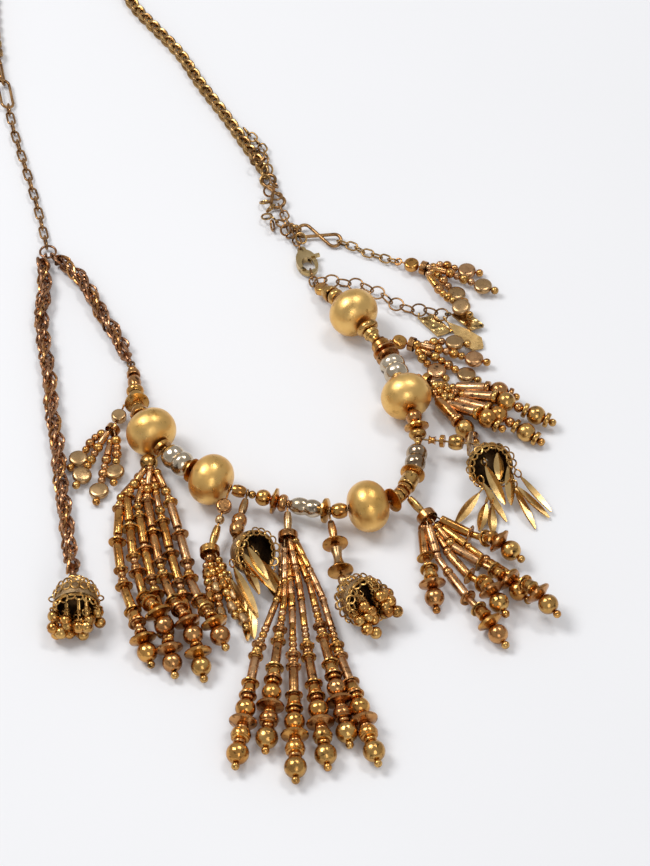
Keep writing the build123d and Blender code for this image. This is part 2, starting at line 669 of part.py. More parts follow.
def link_at(frame):
    """One link of a chain in its place."""
    name, centre, axis, roll, length = frame
    if name == "eight":
        shape = eight_link(eight_loop_radius, length - 2 * eight_loop_radius, eight_wire_radius)
    else:
        shape = link_shape(length, link_width(name), link_wire(name))
    return place(shape, centre, axis, roll)


def wire_point(frame, angle):
    """Middle of a link's wire at an angle from its far end, and the wire's direction there."""
    name, centre, axis, roll, length = frame
    across = UP.cross(axis).normalized().rotate(Axis((0, 0, 0), axis), roll)
    radius = link_width(name) / 2
    turn = math.radians(angle)
    point = centre + axis * ((length / 2 - radius) + radius * math.cos(turn)) + across * (radius * math.sin(turn))
    return point, (across * math.cos(turn) - axis * math.sin(turn)).normalized()


def wire_loop(joint, loop_axis, toward):
    """Round loop about a wire, and the point of the loop that faces its stem."""
    _, wire_length, diameter = BEADS["loop"]
    wire = wire_length / 2
    reach = diameter / 2 - wire
    out = ((toward - joint) - loop_axis * (toward - joint).dot(loop_axis)).normalized()
    return place(Torus(reach, wire), joint, loop_axis), joint + out * reach


def link_wire(name):
    return eight_wire_radius if name == "eight" else LINKS[name][0]


def link_width(name):
    return 2 * eight_loop_radius if name == "eight" else LINKS[name][1]


def alternate(name, count, pitch=None):
    """Items of one kind of link, rolled one way and then the other."""
    _, _, own_pitch, first, second = LINKS[name]
    return [(name, pitch or own_pitch, second if i % 2 else first) for i in range(count)]


def eight_item(roll=12.0):
    pitch = eight_loop_distance + 2 * eight_loop_radius - 2 * eight_wire_radius - link_gap - eight_play
    return ("eight", pitch, roll)


def neck_chain():
    """Left cable chain, thick links, back chain, figure of eight and joining links, as one run."""
    clasp_end = clasp_point(-(LINKS["join"][0] + link_gap / 2))
    heights = [junction_height] + [0] * (len(NECK_ROUTE) - 1)
    curve = smooth_curve([(x, y, z) for (x, y), z in zip(NECK_ROUTE, heights)] + [tuple(clasp_end)])
    left = alternate("cable", cable_link_count) + alternate("brass ring", 1) + alternate("thick link", thick_link_count)
    right = [eight_item()] + alternate("join", join_link_count)
    fixed = sum(item[1] for item in left + right)
    spare = curve_length(curve) - fixed
    back_count = round(spare / LINKS["back"][2])
    back = alternate("back", back_count, spare / back_count)
    frames = chain_frames(curve, left + back + right)
    return frames[:len(left)], frames[len(left):-len(right)], frames[-len(right):]


def rope_loop(joint, loop_axis, toward):
    """Loop at a rope's end about a wire, with the neck up to the rope's first point."""
    out = (toward - joint).normalized()
    centre = place(Torus(rope_loop_radius, rope_loop_wire), joint, loop_axis)
    return [centre, rod(joint + out * rope_loop_radius, toward, rope_neck_radius)]


def bead_length(kinds):
    return sum(STRAND_BEADS[kind][1] for kind in kinds)


def strand_beads(ends, fill, room):
    """Beads of one strand from the head down, as many as its length holds."""
    beads = []
    for i in range(len(ends) + int(room)):
        kind = ends[i] if i < len(ends) else fill[(i - len(ends)) % len(fill)]
        if bead_length(beads) + STRAND_BEADS[kind][1] > room:
            break
        beads.insert(0, kind)
    return beads


def heavy_count(ends):
    """How many beads from the tip upwards make up the heavy end that lies on its own slope."""
    heavy = [i for i, kind in enumerate(ends) if STRAND_BEADS[kind][2] / 2 > knee_height - floor_gap]
    return max(heavy[-1:] + [1]) + 1


def heavy_slope(ends):
    """Rise per length of the heavy end, steep enough to keep every bead off the surface."""
    centres = [bead_length(ends[:i]) + STRAND_BEADS[kind][1] / 2 for i, kind in enumerate(ends)]
    radii = [STRAND_BEADS[kind][2] / 2 for kind in ends]
    rises = [(radius - radii[1]) / (centre - centres[1]) for radius, centre in zip(radii[2:], centres[2:])]
    return max(rises + [0.0])


def strand_run(kinds, core, lead=0.0):
    """Beads of one straight run, turned as one piece on its core along +Z, after a bare lead."""
    low = Vector(core, 0, -core_overlap)
    edges = [Line(Vector(0, 0, -core_overlap), low)]
    last = low
    coins = []
    position = lead
    for kind in kinds:
        outline, length, diameter = STRAND_BEADS[kind]
        if outline == "coin":
            coins.append(Pos(0, 0, position + length / 2) * coin(diameter))
            position += length
            continue
        new_edges, first, end = outline_edges(outline, length, diameter / 2, position)
        if last.X != core or first.Z - last.Z > 1e-6:
            step = Vector(core, 0, last.Z)
            if (last - step).length > 1e-6:
                edges.append(Line(last, step))
                last = step
            if first.Z - last.Z > 1e-6:
                corner = Vector(core, 0, first.Z)
                edges.append(Line(last, corner))
                last = corner
        edges.append(Line(last, first))
        edges += new_edges
        last = end
        position += length
    step = Vector(core, 0, last.Z)
    if (last - step).length > 1e-6:
        edges.append(Line(last, step))
    top = Vector(core, 0, position + core_overlap)
    edges.append(Line(step, top))
    edges.append(Line(top, Vector(0, 0, top.Z)))
    edges.append(Line(Vector(0, 0, top.Z), Vector(0, 0, -core_overlap)))
    body = revolve(make_face(edges), axis=Axis.Z)
    return [body] + coins, position


def strand_targets(start, kind, lift, route):
    """Corners of a strand below its head: knees, the top of its heavy end, and its tip."""
    ends = STRAND_KINDS[kind][0]
    _, mark_length, mark_diameter = STRAND_BEADS[ends[1]]
    if STRAND_BEADS[ends[1]][0] == "coin":
        mark_diameter = coin_thickness
    below = bead_length(ends[:1]) + mark_length / 2
    heavy = bead_length(ends[:heavy_count(ends)])
    knees = [Vector(x, y, knee_height) for x, y in route[:-1]]
    mark = Vector(*route[-1], mark_diameter / 2 + floor_gap + lift)
    while knees and (mark - knees[-1]).length < heavy - below + knee_height:
        knees.pop()
    before = (knees or [start])[-1]
    level = Vector(before.X - mark.X, before.Y - mark.Y, 0).normalized()
    rise = level + UP * heavy_slope(ends)
    return knees + [mark + rise * (heavy - below), mark - rise * below]


def strand(start, kind, lift, route):
    """One strand in straight runs from the head down to its tip."""
    ends, fill = STRAND_KINDS[kind]
    targets = strand_targets(start, kind, lift, route)
    corners = [start] + targets
    beads = strand_beads(ends, fill, sum((b - a).length for a, b in zip(corners, corners[1:])))
    lead = sum((b - a).length for a, b in zip(corners, corners[1:])) - bead_length(beads)
    light = beads[:len(beads) - heavy_count(ends)]
    runs = []
    point = start
    for i, target in enumerate(targets):
        span = (target - point).length - lead
        group = []
        if i == len(targets) - 1:
            group = beads[len(beads) - heavy_count(ends):]
        elif i == len(targets) - 2:
            group, light = light, []
        else:
            while light and bead_length(group) + STRAND_BEADS[light[0]][1] / 2 < span:
                group.append(light.pop(0))
        if not group:
            continue
        pieces, length = strand_run(group, strand_core_radius - i * core_step, lead)
        axis = (target - point).normalized()
        runs += [place(piece, point, axis) for piece in pieces]
        point = point + axis * length
        lead = 0.0
    return runs


def head_and_strands(name):
    """Head bead of a tassel with all its strands, each from its own row and side of the head."""
    kind, (x, y), z, degrees = HEADS[name]
    direction = heading(degrees)
    outline, length, diameter = BEADS[kind]
    centre = Vector(x, y, z)
    pieces = [place(turned(outline, length, diameter / 2, 0.0), centre, direction)]
    across = UP.cross(direction).normalized()
    rows = STRANDS[name]
    middle = (len(rows) - 1) / 2
    spread = min(strand_row_spacing, (diameter - 2.4) / len(rows))
    for i, (strand_kind, lift, route) in enumerate(rows):
        row = strand_row_height * (1 if i % 2 else -1)
        start = centre + direction * (length / 2 - core_overlap) + across * ((i - middle) * spread) + UP * row
        pieces += strand(start, strand_kind, lift, route)
    return pieces


def stem_beads(kinds, start, end):
    """Loose beads on a straight stem, with its spare length shared out between them."""
    direction = (end - start).normalized()
    lengths = [BEADS[kind][1] for kind in kinds]
    gap = ((end - start).length - sum(lengths)) / (len(kinds) + 1)
    if gap < bead_gap:
        print("stem too short for", kinds, round(gap, 2))
    beads = []
    position = gap
    for kind, length in zip(kinds, lengths):
        beads.append(place(make_bead(kind), start + direction * (position + length / 2), direction))
        position += length + gap
    return beads


def hanging(name, joint, loop_axis, end, end_reach=0.0):
    """Loop of a drop at its joint with the stem down to the end, and the loose beads on the stem."""
    ring, start = wire_loop(joint, loop_axis, end)
    wire = BEADS["loop"][1] / 2
    bare_above, bare_below, kinds = DROPS[name]
    if name in BENT_STEMS:
        out = (start - joint).normalized()
        turn = start + out * (wire + bare_above)
        corner = place(Sphere(thread_radius * corner_share), turn, out.cross(end - turn).normalized())
        stem = [rod(start, turn, thread_radius), corner, rod(turn, end, thread_radius)]
    else:
        turn = start + (end - start).normalized() * (wire + bare_above)
        stem = [rod(start, end, thread_radius)]
    beads = stem_beads(kinds, turn, end - (end - turn).normalized() * (bare_below + end_reach))
    return [ring] + stem, beads


def fused(name, pieces):
    """One solid from overlapping pieces, joined one after another where joining all at once turns it inside out."""
    whole = pieces[0].fuse(*pieces[1:])
    if whole.volume < 0:
        whole = pieces[0]
        for piece in pieces[1:]:
            whole = whole.fuse(piece)
    solids = whole.solids() if hasattr(whole, "solids") else ShapeList(whole).solids()
    if len(solids) != 1:
        print(name, "has", len(solids), "solids")
    return solids


def bell_frame(name):
    """Middle of a bell's rim and the way from there to its apex."""
    degrees, pitch, (x, y) = BELLS[name]
    return Vector(x, y, bell_radius + bell_ring_radius + floor_gap), heading(degrees, pitch)


def bell_cap(name):
    """Hollow dome with a short skirt, its mouth at the rim's place and a hole at its apex."""
    inner = bell_radius - bell_wall
    slant = math.sqrt(0.5)
    edges = [
        Line((bell_radius, 0, -bell_skirt), (bell_radius, 0, 0)),
        ThreePointArc((bell_radius, 0, 0), (bell_radius * slant, 0, bell_radius * slant), (0, 0, bell_radius)),
        Line((0, 0, bell_radius), (0, 0, inner)),
        ThreePointArc((0, 0, inner), (inner * slant, 0, inner * slant), (inner, 0, 0)),
        Line((inner, 0, 0), (inner, 0, -bell_skirt)),
        Line((inner, 0, -bell_skirt), (bell_radius, 0, -bell_skirt)),
    ]
    return revolve(make_face(edges), axis=Axis.Z) - Pos(0, 0, bell_radius) * Cylinder(bore_radius, 4 * bell_wall)


def bell_stem_end(name):
    """Point above a bell's apex where its stem turns into the hole, and the knot that holds it inside."""
    rim, axis = bell_frame(name)
    above = rim + axis * (bell_radius + bell_stem_turn)
    inside = rim + axis * (bell_radius - bell_wall - bell_knot_radius - link_gap)
    return above, [rod(above, inside, thread_radius), Pos(*above) * Sphere(thread_radius * 1.4),
                   Pos(*inside) * Sphere(bell_knot_radius)]


def leaf(length):
    """Leaf folded along its middle, pointing along +Z from the wire of its eye."""
    half = leaf_width / 2
    middle = (leaf_eye + length) / 2
    spine_radius = leaf_thickness * 0.45
    foot = Vector(0, leaf_thickness / 2, 0)
    spine = rod(foot, foot + Vector(0, 0, length * 0.9), spine_radius)
    blades = []
    for side in (1, -1):
        outline = [ThreePointArc((0, 0, leaf_eye), (side * half, 0, middle), (0, 0, length)),
                   Line((0, 0, length), (0, 0, leaf_eye))]
        blade = extrude(make_face(outline), amount=leaf_thickness, dir=(0, 1, 0))
        blades.append(Rot(0, 0, side * leaf_fold) * blade)
    return spine.fuse(*blades)


def dangles(name):
    """Fringe of a bell: a ring at the edge of its rim with leaves or small balls on wires."""
    rim, axis = bell_frame(name)
    ring_radius = bell_radius - bell_wall / 2
    centre = rim - axis * (bell_skirt + link_gap + bell_ring_radius)
    across = UP.cross(axis).normalized()
    upright = axis.cross(across)
    hoop = Cylinder(ring_radius + bell_ring_radius, 2 * bell_ring_radius)
    hoop -= Cylinder(ring_radius - bell_ring_radius, 4 * bell_ring_radius)
    pieces = [place(hoop, centre, axis)]
    for degrees, share, side, lift in LEAVES.get(name) or BALLS[name]:
        height = math.sqrt(1 - side**2) * (1 if lift else -1)
        start = centre - across * (side * ring_radius) + upright * (height * ring_radius)
        length = (leaf_length if name in LEAVES else dangle_length) * share
        floor = (leaf_width / 2 if name in LEAVES else small_ball_radius) + floor_gap + lift
        fall = max(min((floor - start.Z) / length, 0.5), -0.9)
        direction = heading(degrees, math.degrees(math.asin(fall)))
        if name in LEAVES:
            pieces.append(place(leaf(length), start, direction))
        else:
            end = start + direction * length
            pieces += [rod(start, end, dangle_wire), Pos(*end) * Sphere(small_ball_radius)]
    return pieces


def clasp_point(distance):
    """Point of the clasp's middle line at a distance past the middle of its eye."""
    height = clasp_thickness / 2 + clasp_rise
    return Vector(CLASP_EYE[0], CLASP_EYE[1], height) + heading(clasp_heading) * distance


def clasp_frame(shape):
    """Move a shape drawn with its eye at the origin and its length along +X to the clasp's place."""
    return Pos(*clasp_point(0)) * Rot(0, 0, clasp_heading) * shape


def ellipse_plate(length, width, thickness, x):
    return Pos(x, 0, 0) * extrude(Ellipse(length / 2, width / 2), amount=thickness / 2, both=True)


def clasp_sizes():
    """Reach of the eye, middle of the shell, length and middle of the window, and place of the pin."""
    eye_reach = clasp_eye_radius + clasp_eye_wall
    middle = clasp_eye_radius + (clasp_length - eye_reach) / 2
    window_length = clasp_length - eye_reach - 2 * clasp_arm - clasp_nose
    window_x = middle + clasp_nose / 2
    return eye_reach, middle, window_length, window_x, window_x - window_length / 2 - lever_pin_radius


def clasp():
    """Hook with eye and pin, and the lever on the pin that closes its mouth."""
    eye_reach, middle, window_length, window_x, pin_x = clasp_sizes()
    shell_length = clasp_length - eye_reach
    tip = middle + shell_length / 2
    shell = ellipse_plate(shell_length + clasp_eye_lap, clasp_width, clasp_thickness, middle - clasp_eye_lap / 2)
    thinned = Box(2 * clasp_tip_length, clasp_width, clasp_thickness) - Box(
        4 * clasp_tip_length, 2 * clasp_width, clasp_tip_thickness)
    eye = Cylinder(eye_reach, clasp_eye_thickness)
    eye_side = Pos(-eye_reach, 0, 0) * (Box(2 * eye_reach, clasp_width, 2 * clasp_thickness))
    shell = shell - Pos(tip, 0, 0) * thinned - eye_side
    window = ellipse_plate(window_length, clasp_width - 2 * clasp_arm, clasp_thickness * 2, window_x)
    pin_y = clasp_width / 2 - clasp_arm * 0.9
    mouth_end = window_x + window_length * 0.36
    mouth_length = mouth_end - pin_x
    mouth = Pos(pin_x + mouth_length / 2 + lever_pin_radius, clasp_width / 2, 0) * Box(
        mouth_length, 2 * clasp_arm + 0.6, clasp_thickness * 2)
    swing_room = Pos(mouth_end + lever_pin_radius - swing_size / 2, clasp_width / 2 - clasp_arm - 0.6, 0) * Box(
        swing_size, swing_size, clasp_thickness * 2)
    slot = Pos(pin_x, clasp_width / 2, 0) * Box(4.2, 2 * clasp_arm + 3.0, lever_thickness + 2 * lever_gap)
    body = shell + eye - Cylinder(clasp_eye_radius, clasp_thickness * 2) - window - mouth - swing_room - slot
    body = body + Pos(pin_x, pin_y, 0) * Cylinder(lever_pin_radius, clasp_thickness * 0.9)
    outer = ellipse_plate(shell_length - 0.1, clasp_width - 0.1, lever_thickness, middle)
    inner = ellipse_plate(window_length + 0.6, clasp_width - 2 * clasp_arm + 0.3, lever_thickness * 2, window_x)
    reach = mouth_end - lever_gap - pin_x
    strip = Pos(pin_x + reach / 2, clasp_width / 2, 0) * Box(reach, 2 * clasp_arm, lever_thickness * 2)
    arm = (outer - inner) & strip
    boss = Pos(pin_x, pin_y, 0) * Cylinder(clasp_arm * 0.62, lever_thickness)
    tab = Pos(pin_x - 0.4, clasp_width / 2 + 0.5, 0) * Box(1.3, 2.6, lever_thickness)
    lever = arm + boss + tab - Pos(pin_x, pin_y, 0) * Cylinder(lever_bore_radius, clasp_thickness)
    pivot = clasp_frame(Pos(pin_x, pin_y, 0) * Sphere(0.1)).center()
    return clasp_frame(body), clasp_frame(lever), pivot


def charm(name, frames):
    """Flat charm with an eye about the wire of its ring."""
    corners, from_end, angle, rise, degrees, pitch, length, width = CHARMS[name]
    point, wire_direction = wire_point(frames[-from_end], angle)
    way = heading(degrees, pitch)
    plate = extrude(Polygon(*[(a * length, b * width) for a, b in corners], align=None), amount=charm_thickness / 2,
                    both=True)
    plate = fillet(plate.edges().filter_by(Axis.Z), 0.5)
    eye = place(Torus(charm_eye_radius, charm_eye_wire), point, wire_direction)
    level = (way - wire_direction * way.dot(wire_direction)).normalized()
    start = point + level * charm_eye_radius + UP * rise
    stem = rod(point + level * charm_eye_radius, start + way * charm_stem, charm_eye_wire * 0.9)
    return [eye, stem, Pos(*start) * Rot(0, 0, degrees) * Rot(0, -pitch, 0) * plate]


nodes = {}


def keep(name, shapes):
    """Add solids to a node."""
    nodes.setdefault(name, [])
    for shape in shapes:
        nodes[name] += shape.solids()


# Main string: beads, and the joints where the drops hang
joints, gaps = string_joints()
first_way = (joints[1] - joints[0]).normalized()
last_way = (joints[-1] - joints[-2]).normalized()
hooks = {}
for (node, kind), a, b, gap_a, gap_b in zip(STRING, joints, joints[1:], gaps, gaps[1:]):
    axis = (b - a).normalized()
    centre = (a + b) * 0.5 + axis * ((gap_a - gap_b) / 4)
    if kind == "loop":
        hooks[node] = (centre, axis)
    else:
        keep(node, [place(make_bead(kind), centre, axis)])

# Neck chain with the first figure of eight link, ending in the clasp's eye
left_links, back_links, right_links = neck_chain()
keep("neck_chain_left", [link_at(frame) for frame in left_links])
keep("neck_chain_back", [link_at(frame) for frame in back_links])
keep("figure_eight_link_1", [link_at(right_links[0])])
keep("neck_chain_right", [link_at(frame) for frame in right_links[1:]])

# Clasp and the links between its hook and the string
body, lever, pivot = clasp()
keep("clasp_body", [body])
keep("clasp_lever", [lever])
print("clasp pivot", pivot)
loop_wire = BEADS["loop"][1] / 2
loop_reach = BEADS["loop"][2] / 2 - loop_wire
_, _, window_length, window_x, _ = clasp_sizes()
hook_start = clasp_point(window_x + window_length / 2 - hook_play)
hook_end = joints[0] - first_way * (loop_reach + loop_wire + LINKS["clasp ring"][0] + link_gap)
hook_pitch = (hook_end - hook_start).length / 2
clasp_links = chain_frames([hook_start, hook_end], alternate("clasp ring", 2, hook_pitch))
keep("clasp_rings", [link_at(frame) for frame in clasp_links])

# Thread of the main string, with a loop at each end
start_loop, thread_start = wire_loop(*wire_point(clasp_links[-1], 0), joints[0])
end_centre = joints[-1] + last_way * (bead_gap + loop_wire + loop_reach)
end_loop = place(Torus(loop_reach, loop_wire), end_centre, UP)
thread_route = [thread_start] + joints[:-1] + [end_centre - last_way * loop_reach]
keep("string_thread", fused("string_thread", [start_loop, end_loop, tube(thread_route, thread_radius)]))

# Ring where the chains meet, and the two rope chains from it
junction_point = Vector(*NECK_ROUTE[0], junction_height)
junction_way = (Vector(*NECK_ROUTE[1], junction_height) - junction_point).normalized()
junction = junction_point - junction_way * (junction_radius - junction_wire)
keep("junction_ring", [place(Torus(junction_radius, junction_wire), junction, UP)])
rope_ends = {}
for node, route, end_lift in (("rope_chain_side", ROPE_SIDE_ROUTE, 0.0),
                              ("rope_chain_hanging", ROPE_HANGING_ROUTE, rope_end_lift)):
    points = [Vector(x, y, rope_radius + floor_gap) for x, y in route]
    points[-1] = points[-1] + UP * end_lift
    print(node, "bend radii", [round(radius, 1) for radius in bend_radii(points, rope_bend_share)])
    away = Vector(points[0].X - junction.X, points[0].Y - junction.Y, 0).normalized()
    last = (points[-1] - points[-2]).normalized()
    across = UP.cross(last).normalized()
    end_hook = points[-1] + last * (rope_neck_length + rope_loop_radius)
    if node == "rope_chain_side":
        end_hook = end_centre + last_way * loop_reach
        across = UP.cross(last_way).normalized()
    pieces = [tube(points, rope_radius)]
    pieces += rope_loop(junction + away * junction_radius, UP.cross(away), points[0])
    pieces += rope_loop(end_hook, across, points[-1])
    keep(node, fused(node, pieces))
    rope_ends[node] = (end_hook + last * rope_loop_radius, last.cross(across))
hooks["bell_rope"] = rope_ends["rope_chain_hanging"]

# Side chain: ring on a joining link, second figure of eight, rings down to the top tassel
side_point, _ = wire_point(right_links[1 + side_link], 90)
side_way = Vector(SIDE_ROUTE[0][0] - side_point.X, SIDE_ROUTE[0][1] - side_point.Y, 0).normalized()
side_inner = side_ring_radius - side_ring_wire - 2 * bead_gap
side_ring = Vector(side_point.X, side_point.Y, side_rise) + side_way * (side_inner - LINKS["join"][0])
side_start = side_ring + side_way * (side_inner + 2.5 * link_gap)
keep("small_rings", [place(Torus(side_ring_radius, side_ring_wire), side_ring, UP.cross(side_way))])
side_curve = smooth_curve([tuple(side_start)] + [(x, y, 0) for x, y in SIDE_ROUTE[:-1]]
                          + [(*SIDE_ROUTE[-1], side_end_height)])
side_count = round((curve_length(side_curve) - eight_item()[1]) / LINKS["join"][2])
side_links = chain_frames(side_curve, [eight_item()] + alternate("join", side_count))
keep("figure_eight_link_2", [link_at(side_links[0])])
keep("small_rings", [link_at(frame) for frame in side_links[1:]])
hooks["tassel_top_coin"] = wire_point(side_links[-1], 0)

# Ring chain from the clasp's last link with its charms, and the rings tangled beside the back chain
ring_point, _ = wire_point(clasp_links[-1], ring_chain_angle)
ring_way = (Vector(*RING_ROUTE[0], ring_point.Z) - ring_point).normalized()
ring_start = ring_point - ring_way * (LINKS["clasp ring"][0] + bead_gap)
ring_curve = smooth_curve([tuple(ring_start)] + [(x, y, 0) for x, y in RING_ROUTE[:-1]]
                          + [(*RING_ROUTE[-1], ring_end_height)])
ring_count = 2 * round(curve_length(ring_curve) / LINKS["ring"][2] / 2)
ring_links = chain_frames(ring_curve, alternate("ring", ring_count, curve_length(ring_curve) / ring_count))
keep("ring_chain", [link_at(frame) for frame in ring_links])
for node in CHARMS:
    keep(node, fused(node, charm(node, ring_links)))
tangle_curve = smooth_curve([(x, y, 0) for x, y in TANGLE_ROUTE])
tangle_count = round(curve_length(tangle_curve) / LINKS["join"][2])
keep("small_rings", [link_at(frame) for frame in chain_frames(tangle_curve, alternate("join", tangle_count))])

# Drops: tassels with their loops and stems, and bells with theirs
for name, (point, wire_way) in hooks.items():
    if name in HEADS:
        kind, (x, y), z, _ = HEADS[name]
        own, beads = hanging(name, point, wire_way, Vector(x, y, z), BEADS[kind][1] / 2)
        keep(name, fused(name, own + head_and_strands(name)))
    else:
        above, turned_end = bell_stem_end(name)
        own, beads = hanging(name, point, wire_way, above)
        keep(name + "_stem", fused(name + "_stem", own + turned_end))
        rim, axis = bell_frame(name)
        keep(name + "_cap", [place(bell_cap(name), rim, axis)])
        keep(name + "_fringe", fused(name + "_fringe", dangles(name)))
    if beads:
        keep("drop_beads", beads)

for node, shapes in nodes.items():
    print(node, len(shapes))
print("loose solids", sum(len(shapes) for shapes in nodes.values()))

os.makedirs("parts", exist_ok=True)
for node, solids in nodes.items():
    export_step(Compound(children=solids) if len(solids) > 1 else solids[0], "parts/" + node + ".step")
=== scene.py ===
import math
import random

import bpy
import numpy as np
from mathutils import Matrix, Vector


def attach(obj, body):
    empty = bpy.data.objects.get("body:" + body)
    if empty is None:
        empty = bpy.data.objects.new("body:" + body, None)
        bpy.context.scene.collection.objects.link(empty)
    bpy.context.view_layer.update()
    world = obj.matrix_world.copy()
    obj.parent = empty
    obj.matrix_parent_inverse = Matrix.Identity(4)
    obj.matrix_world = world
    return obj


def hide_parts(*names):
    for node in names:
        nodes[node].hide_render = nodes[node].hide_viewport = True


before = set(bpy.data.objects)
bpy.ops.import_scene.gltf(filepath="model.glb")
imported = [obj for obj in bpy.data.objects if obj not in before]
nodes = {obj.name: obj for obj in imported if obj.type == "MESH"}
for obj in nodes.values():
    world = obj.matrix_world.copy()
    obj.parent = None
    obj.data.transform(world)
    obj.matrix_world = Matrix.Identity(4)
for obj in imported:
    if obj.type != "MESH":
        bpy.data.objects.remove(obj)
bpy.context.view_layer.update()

# All sizes below are millimetres and are scaled to metres where a mesh is made
MM = 0.001
UP = Vector((0, 0, 1))
dice = random.Random(11)


# Camera at the photograph's angle
camera_target = Vector((60, -120, 0))
camera_elevation = math.radians(50)
camera_distance = 1400
camera_data = bpy.data.cameras.new("camera")
camera_data.lens = 159.9
camera_data.sensor_width = 36
camera_data.clip_start = 0.05
camera = bpy.data.objects.new("camera", camera_data)
bpy.context.scene.collection.objects.link(camera)
camera_back = Vector((0, -math.cos(camera_elevation), math.sin(camera_elevation)))
camera.location = (camera_target + camera_back * camera_distance) * MM
camera.rotation_euler = (-camera_back).to_track_quat("-Z", "Y").to_euler()
bpy.context.scene.camera = camera


# Photograph: its middle pixel, and its pixels for each millimetre across and away from the camera
middle_column = 325
middle_row = 433
pixels_across = 2.75
pixels_away = 2.107


def seen(column, row, height):
    """Point at a height above the surface that the photograph shows at this pixel."""
    across = camera_target.x + (column - middle_column) / pixels_across
    away = camera_target.y - (row - middle_row) / pixels_away - height / math.tan(camera_elevation)
    return Vector((across, away, height))


def shader(name):
    """New material with its tree, its main shader and its object coordinates."""
    material = bpy.data.materials.new(name)
    material.use_nodes = True
    tree = material.node_tree
    main = tree.nodes["Principled BSDF"]
    place = tree.nodes.new("ShaderNodeTexCoord")
    return material, tree, main, place.outputs["Object"]


def noise(tree, place, scale, detail=3.0, rough=0.55):
    """Noise texture at a scale in features per metre."""
    texture = tree.nodes.new("ShaderNodeTexNoise")
    texture.inputs["Scale"].default_value = scale
    texture.inputs["Detail"].default_value = detail
    texture.inputs["Roughness"].default_value = rough
    tree.links.new(place, texture.inputs["Vector"])
    return texture.outputs["Fac"]


def ramp(tree, factor, stops):
    """Colour ramp with its stops as (position, colour)."""
    node = tree.nodes.new("ShaderNodeValToRGB")
    elements = node.color_ramp.elements
    for element, (position, colour) in zip(elements, (stops[0], stops[-1])):
        element.position = position
        element.color = (*colour, 1)
    for position, colour in stops[1:-1]:
        element = elements.new(position)
        element.color = (*colour, 1)
    tree.links.new(factor, node.inputs["Fac"])
    return node.outputs["Color"]


# Every metal: where its deep and light tones start, how soft its specks' edges are, then its polish:
# features per metre, the noise that counts, and the least and most of its roughness
tone_starts = (0.32, 0.6)
speck_edge = 0.1
polish_scale = 260
polish_noise = (0.3, 0.7)
polish_low = 0.7
polish_high = 1.4
dent_strength = 0.7
dent_depth = 0.0008


def metal(name, light, deep, dark, roughness, bump, scales, patina=0.44, dents=None, depth=0.0003):
    """Antiqued metal: slow change of tone, dark specks, uneven polish and a fine uneven surface."""
    tone_scale, speck_scale, grain_scale = scales
    material, tree, main, place = shader(name)
    links = tree.links
    main.inputs["Metallic"].default_value = 1.0
    tone = ramp(tree, noise(tree, place, tone_scale), list(zip(tone_starts, (deep, light))))
    speck_noise = noise(tree, place, speck_scale, 6, 0.65)
    specks = ramp(tree, speck_noise, [(patina - speck_edge, (1, 1, 1)), (patina, (0, 0, 0))])
    mix = tree.nodes.new("ShaderNodeMix")
    mix.data_type = "RGBA"
    links.new(specks, mix.inputs["Factor"])
    links.new(tone, mix.inputs["A"])
    mix.inputs["B"].default_value = (*dark, 1)
    links.new(mix.outputs["Result"], main.inputs["Base Color"])
    polish = tree.nodes.new("ShaderNodeMapRange")
    links.new(noise(tree, place, polish_scale, 4), polish.inputs["Value"])
    polish.inputs["From Min"].default_value = polish_noise[0]
    polish.inputs["From Max"].default_value = polish_noise[1]
    polish.inputs["To Min"].default_value = roughness * polish_low
    polish.inputs["To Max"].default_value = roughness * polish_high
    links.new(polish.outputs["Result"], main.inputs["Roughness"])
    grain = noise(tree, place, grain_scale, 4, 0.6)
    relief = tree.nodes.new("ShaderNodeBump")
    relief.inputs["Strength"].default_value = bump
    relief.inputs["Distance"].default_value = depth
    links.new(grain, relief.inputs["Height"])
    if dents:
        cells = tree.nodes.new("ShaderNodeTexVoronoi")
        cells.feature = "SMOOTH_F1"
        cells.inputs["Scale"].default_value = dents
        links.new(place, cells.inputs["Vector"])
        hammered = tree.nodes.new("ShaderNodeBump")
        hammered.inputs["Strength"].default_value = dent_strength
        hammered.inputs["Distance"].default_value = dent_depth
        links.new(cells.outputs["Distance"], hammered.inputs["Height"])
        links.new(hammered.outputs["Normal"], relief.inputs["Normal"])
    links.new(relief.outputs["Normal"], main.inputs["Normal"])
    return material


